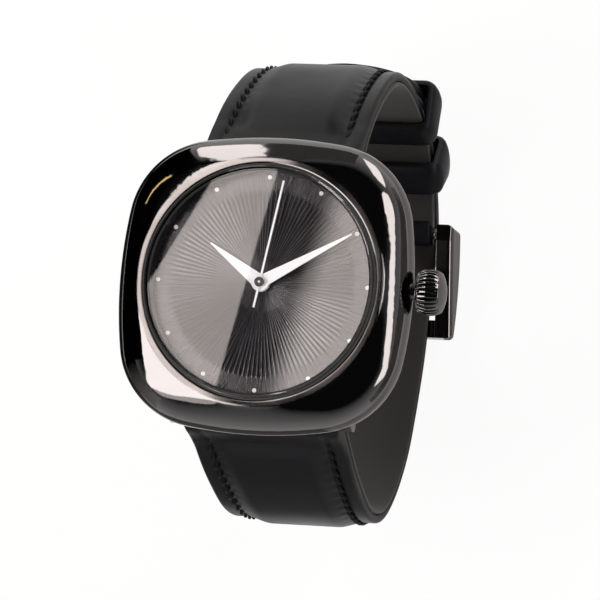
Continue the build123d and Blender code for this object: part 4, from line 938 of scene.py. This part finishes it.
class WATCH_OT_stage(WatchOperator, bpy.types.Operator):
    """Set the floor, the surroundings, the lamps and the camera"""
    bl_idname = "watch.stage"
    bl_label = "Studio"

    def execute(self, context):
        scene, studio = context.scene, context.scene.studio_settings
        self.floor(studio)
        self.surroundings(scene, studio)
        self.flags()
        self.panels(studio)
        self.lamps(studio)
        self.camera(scene, studio)
        return {"FINISHED"}

    def floor(self, studio):
        """A sweep of white paper under the buckle's travel, which glows a little to the eye and
        to gloss."""
        material, tree, place = new_material("white_paper_sweep")
        fibre = add_node(tree, "TexNoise", {"Scale": 1 / (3 * MM)}, place)
        bump = add_node(tree, "Bump", {"Strength": 0.02, "Distance": 0.02 * MM},
                        {"Height": (fibre, "Fac")})
        paper = add_node(tree, "BsdfDiffuse", {"Color": studio.paper},
                         {"Normal": (bump, "Normal")})
        glow = add_node(tree, "Emission", {"Strength": 1.0})
        # The eye gets the whole share of glow, gloss and glass three quarters, other rays none
        path, mirrored = self.ray_paths(tree)
        less = add_node(tree, "Math", {"operation": "MULTIPLY", 1: 0.75}, {0: (mirrored, "Value")})
        seen = add_node(tree, "Math", {"operation": "MAXIMUM"},
                        {0: (path, "Is Camera Ray"), 1: (less, "Value")})
        share = add_node(tree, "Math", {"operation": "MULTIPLY", 1: studio.floor_glow},
                         {0: (seen, "Value")})
        mix = add_node(tree, "MixShader", None,
                       {"Fac": (share, "Value"), 1: (paper, 0), 2: (glow, 0)})
        mesh = bmesh.new()
        bmesh.ops.create_grid(mesh, x_segments=1, y_segments=1, size=3.0,
                              matrix=Matrix.Translation((0, 0, self.floor_height())))
        mesh_object("studio_floor", mesh, finished(material, mix))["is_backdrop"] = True

    def floor_height(self):
        """Height of the paper, below the buckle where it swings lowest."""
        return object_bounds()[0].z - 1.2 * MM

    def ray_paths(self, tree):
        """The ray's path, and whether it comes from gloss or through glass."""
        path = add_node(tree, "LightPath")
        return path, add_node(tree, "Math", {"operation": "MAXIMUM"},
                              {0: (path, "Is Glossy Ray"), 1: (path, "Is Transmission Ray")})

    def surroundings(self, scene, studio):
        """A white horizon under a dark ceiling, as gloss and glass see it; plain white to the
        camera and plain pale light for everything else."""
        world = bpy.data.worlds.new("studio")
        world.use_nodes = True
        scene.world = world
        tree = world.node_tree
        tree.nodes.clear()
        split = add_node(tree, "SeparateXYZ", None,
                         {"Vector": (add_node(tree, "TexCoord"), "Generated")})
        room = add_node(tree, "ValToRGB",
                        {"stops": ((0.0, 0.8), (0.34, 0.45), (0.5, 0.3), (0.68, 0.015))},
                        {"Fac": (split, "Z")})
        ambient = add_node(tree, "Background", {"Strength": studio.ambient})
        around = add_node(tree, "Background", {"Strength": 1.0}, {"Color": (room, "Color")})
        white = add_node(tree, "Background", {"Color": (1, 1, 1, 1), "Strength": 1.0})
        path, mirrored = self.ray_paths(tree)
        gloss = add_node(tree, "MixShader", None,
                         {"Fac": (mirrored, "Value"), 1: (ambient, 0), 2: (around, 0)})
        view = add_node(tree, "MixShader", None,
                        {"Fac": (path, "Is Camera Ray"), 1: (gloss, 0), 2: (white, 0)})
        add_node(tree, "OutputWorld", None, {"Surface": (view, 0)})

    def flags(self):
        """Felt flags and cards that only gloss and glass see, shaded from one edge to the other:
        black and graded ones at the left that keep the case's left flank dark, grey ones that
        stand behind it and at its right, and cards that lie at its left, in front for the lower
        strap, and at the right for the buckle. Their places are in degrees and metres."""
        foot = self.floor_height() + 0.3 * MM
        for name, azimuth, distance, width, height, depth, stops in (
                ("black_felt_flag", 155, 0.2, 0.29, 0.32, 0.0, ((0.0, 0.004), (1.0, 0.003))),
                ("graded_felt_flag", 207, 0.2, 0.13, 0.16, 0.0, ((0.0, 0.62), (0.9, 0.004))),
                ("grey_felt_flag", 92.2, 0.35, 0.139, 0.26, 0.0, ((0.0, 0.18), (1.0, 0.19))),
                ("low_felt_flag", 0, 0.3, 0.62, 0.13, 0.0,
                 ((0.0, 0.5), (0.25, 0.22), (0.75, 0.18), (1.0, 0.5))),
                ("black_felt_card", 176, 0.115, 0.22, 0.0, 0.12, ((0.0, 0.12), (0.4, 0.02))),
                ("dark_felt_card", 268, 0.108, 0.19, 0.0, 0.12, ((0.0, 0.21), (1.0, 0.19))),
                ("grey_felt_card", 356, 0.1, 0.3, 0.0, 0.18, ((0.0, 0.62), (1.0, 0.56)))):
            material, tree, place = new_material(name)
            split = add_node(tree, "SeparateXYZ", None,
                             {"Vector": (place["Vector"][0], "Generated")})
            felt = add_node(tree, "ValToRGB", {"stops": stops}, {"Fac": (split, "Y")})
            shader = add_node(tree, "BsdfDiffuse", None, {"Color": (felt, "Color")})
            middle = self.direction(azimuth, 90) * distance + Vector((0, 0, foot + height / 2))
            aside = Vector((-middle.y, middle.x, 0)).normalized() * width / 2
            rise = (Vector((0, 0, height / 2))
                    + Vector((middle.x, middle.y, 0)).normalized() * depth / 2)
            mesh = bmesh.new()
            mesh.faces.new([mesh.verts.new(middle + side * aside + way * rise)
                            for side, way in ((-1, -1), (1, -1), (1, 1), (-1, 1))])
            flag = mesh_object(name, mesh, finished(material, shader))
            flag.visible_camera = flag.visible_diffuse = flag.visible_shadow = False
            flag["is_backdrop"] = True

    def panels(self, studio):
        """Lit panels high above the left, which only gloss and glass see: two that fill the
        crystal but for a dark band between them, the second with a soft edge, and a thin one
        round both for the case's rim. Their places are in millimetres."""
        left = [*self.arc(184, 252), (-166.3, 81), (-161.9, 103.6), *self.arc(84, 119)]
        right = [(-150, 89), (-159, 60), *self.arc(272, 424), (-146, 116)]
        rim = self.arc(80, 252, 33.8) + self.arc(252, 190, 46) + self.arc(170, 80, 58)
        for name, outline, radiance in (("panel_left", left, 3.3), ("panel_right", right, 3.3),
                                        ("panel_rim", rim, 6.0)):
            self.lit_cloth(name, [Vector((x, y, MIRRORED_Z)) * MM for x, y in outline],
                           radiance, studio.panel, False, name == "panel_right")

    def arc(self, start, end, radius=MIRRORED_RADIUS):
        """Points round the middle of what the crystal mirrors, from angle to angle in degrees."""
        return [(MIRRORED_X + radius * math.cos(a), MIRRORED_Y + radius * math.sin(a))
                for a in np.radians(np.linspace(start, end, 24))]

    def lit_cloth(self, name, points, radiance, colour, lights=True, soft=False):
        """A stretched diffuser cloth, lit from behind. One that gives no light shows only in
        gloss and glass, and a soft one fades in over 10 mm along one side."""
        material, tree, place = new_material(name + "_diffuser_cloth")
        weave = add_node(tree, "TexNoise", {"Scale": 1 / (60 * MM)}, place)
        light = add_node(tree, "ValToRGB",
                         {"stops": ((0.3, shade(colour, 0.96)), (0.7, shade(colour, 1.0)))},
                         {"Fac": (weave, "Fac")})
        shader = add_node(tree, "Emission", {"Strength": radiance}, {"Color": (light, "Color")})
        if soft:
            side = add_node(tree, "VectorMath",
                            {"operation": "DOT_PRODUCT", 1: (0.972, -0.234, 0.0)},
                            {0: place["Vector"]})
            fade = add_node(tree, "MapRange",
                            {"interpolation_type": "SMOOTHSTEP", "From Min": -166.5 * MM,
                             "From Max": -156.5 * MM, "To Max": radiance},
                            {"Value": (side, "Value")})
            tree.links.new(fade.outputs["Result"], shader.inputs["Strength"])
        mesh = bmesh.new()
        face = mesh.faces.new([mesh.verts.new(point) for point in points])
        bmesh.ops.triangulate(mesh, faces=[face])
        cloth = mesh_object(name, mesh, finished(material, shader))
        cloth.visible_camera = cloth.visible_shadow = False
        cloth.visible_diffuse = lights
        cloth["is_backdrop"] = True

    def direction(self, azimuth, tilt):
        """Unit vector at an azimuth from +X and a tilt from straight up, in degrees."""
        a, b = math.radians(azimuth), math.radians(tilt)
        return Vector((math.sin(b) * math.cos(a), math.sin(b) * math.sin(a), math.cos(b)))

    def lamps(self, studio):
        """Softboxes and one gold lamp, each by the outline that it shows: degrees to the right
        and upward from straight overhead, on a sphere round the case. The gold one is nearer."""
        box, gold = studio.softbox, studio.gold
        for name, radiance, colour, reach, outline in (
                ("softbox_key", 7.0, box, 1.0,
                 ((-43, 0.5), (-17.9, 6.3), (-17.0, 5.2), (-16.3, 4.3), (-14, 3.6), (-14, -14),
                  (-20, -28), (-36, -29.5), (-50.5, -30), (-52, -25.5), (-45, -14), (-41.5, -4))),
                ("softbox_spill", 2.2, box, 1.0,
                 ((-51, -30), (-36, -29.5), (-20, -28), (-20, -46), (-25, -44), (-27, -38),
                  (-42, -37))),
                ("softbox_top", 6.0, box, 1.0,
                 ((-38.5, 92), (-36.5, 80), (-32, 70), (-28.3, 59), (-26, 53), (-24.4, 43),
                  (-22.3, 32), (-20.4, 20), (-18.8, 13), (-18, 8), (-17.5, 11), (-15.5, 12),
                  (-13, 12.4), (-16, 22), (-20, 35), (-20.5, 43), (-21.5, 60), (-19, 76),
                  (-20, 82), (-25, 93), (-30, 97))),
                ("softbox_window", 6.0, box, 1.0,
                 ((18, 97), (28, 98), (37, 86), (42, 78), (44.5, 55), (43, 50), (33, 52),
                  (27, 58), (23, 75))),
                ("softbox_right", 6.0, box, 1.0,
                 ((31, 32), (32, 36.5), (36, 41), (45, 42), (53.5, 32), (58, 21.5), (64, 10.7),
                  (66, 4), (68.6, 0), (73, -15), (70, -26), (51.4, -34), (52.5, -26), (57, -13),
                  (54.5, -2), (56, 4), (57, 9), (52, 17), (43, 19.5), (34, 22))),
                ("lamp_gold", 5.0, gold, 0.264,
                 ((-64.5, 24), (-60, 27), (-55, 31), (-50, 33), (-44, 35.2), (-39, 35),
                  (-36, 32.5), (-41, 32.8), (-46, 31.8), (-51, 30), (-56, 27.6), (-61, 23.6)))):
            self.lit_cloth(name, [self.direction(math.degrees(math.atan2(y, x)), math.hypot(x, y))
                                  * studio.distance * reach for x, y in outline],
                           radiance, colour)

    def camera(self, scene, studio):
        """The photograph's view, from half a metre above the dial."""
        data = bpy.data.cameras.new("photograph")
        data.lens = studio.lens
        data.sensor_width = 36.0
        data.clip_start, data.clip_end = 0.01, 20.0
        camera = bpy.data.objects.new("photograph", data)
        scene.collection.objects.link(camera)
        aim = Vector((4.5, -1.6, 4.7)) * MM
        right = Vector((0.973, 0.072, -0.218)).normalized()
        back = Vector((0.226, -0.129, 0.966)).normalized()
        up = back.cross(right).normalized()
        turn = Matrix((up.cross(back), up, back)).transposed().to_4x4()
        camera.matrix_world = Matrix.Translation(aim + studio.view_distance * back) @ turn
        scene.camera = camera


OPERATORS = (WATCH_OT_case, WATCH_OT_crystal, WATCH_OT_dial, WATCH_OT_movement,
             WATCH_OT_strap_12, WATCH_OT_strap_6, WATCH_OT_stitching, WATCH_OT_keepers,
             WATCH_OT_stage)


class WATCH_PT_panel(bpy.types.Panel):
    """Lists the watch's operators"""
    bl_idname = "WATCH_PT_panel"
    bl_label = "Cushion case watch"
    bl_space_type = "VIEW_3D"
    bl_region_type = "UI"
    bl_category = "Watch"

    def draw(self, context):
        for operator in OPERATORS:
            self.layout.operator(operator.bl_idname)


CLASSES = (WatchColours, StrapSizes, StudioSettings, *OPERATORS, WATCH_PT_panel)


def register():
    for cls in CLASSES:
        bpy.utils.register_class(cls)
    bpy.types.Scene.watch_colours = bpy.props.PointerProperty(type=WatchColours)
    bpy.types.Scene.strap_sizes = bpy.props.PointerProperty(type=StrapSizes)
    bpy.types.Scene.studio_settings = bpy.props.PointerProperty(type=StudioSettings)


def unregister():
    del bpy.types.Scene.studio_settings
    del bpy.types.Scene.strap_sizes
    del bpy.types.Scene.watch_colours
    for cls in reversed(CLASSES):
        bpy.utils.unregister_class(cls)


def main():
    register()
    bpy.context.scene.view_settings.view_transform = "Standard"
    bpy.ops.watch.case()
    bpy.ops.watch.crystal()
    bpy.ops.watch.dial()
    bpy.ops.watch.movement()
    bpy.ops.watch.strap_12()
    bpy.ops.watch.strap_6()
    bpy.ops.watch.stitching()
    bpy.ops.watch.keepers()
    bpy.ops.watch.stage()


if __name__ == "__main__":
    main()
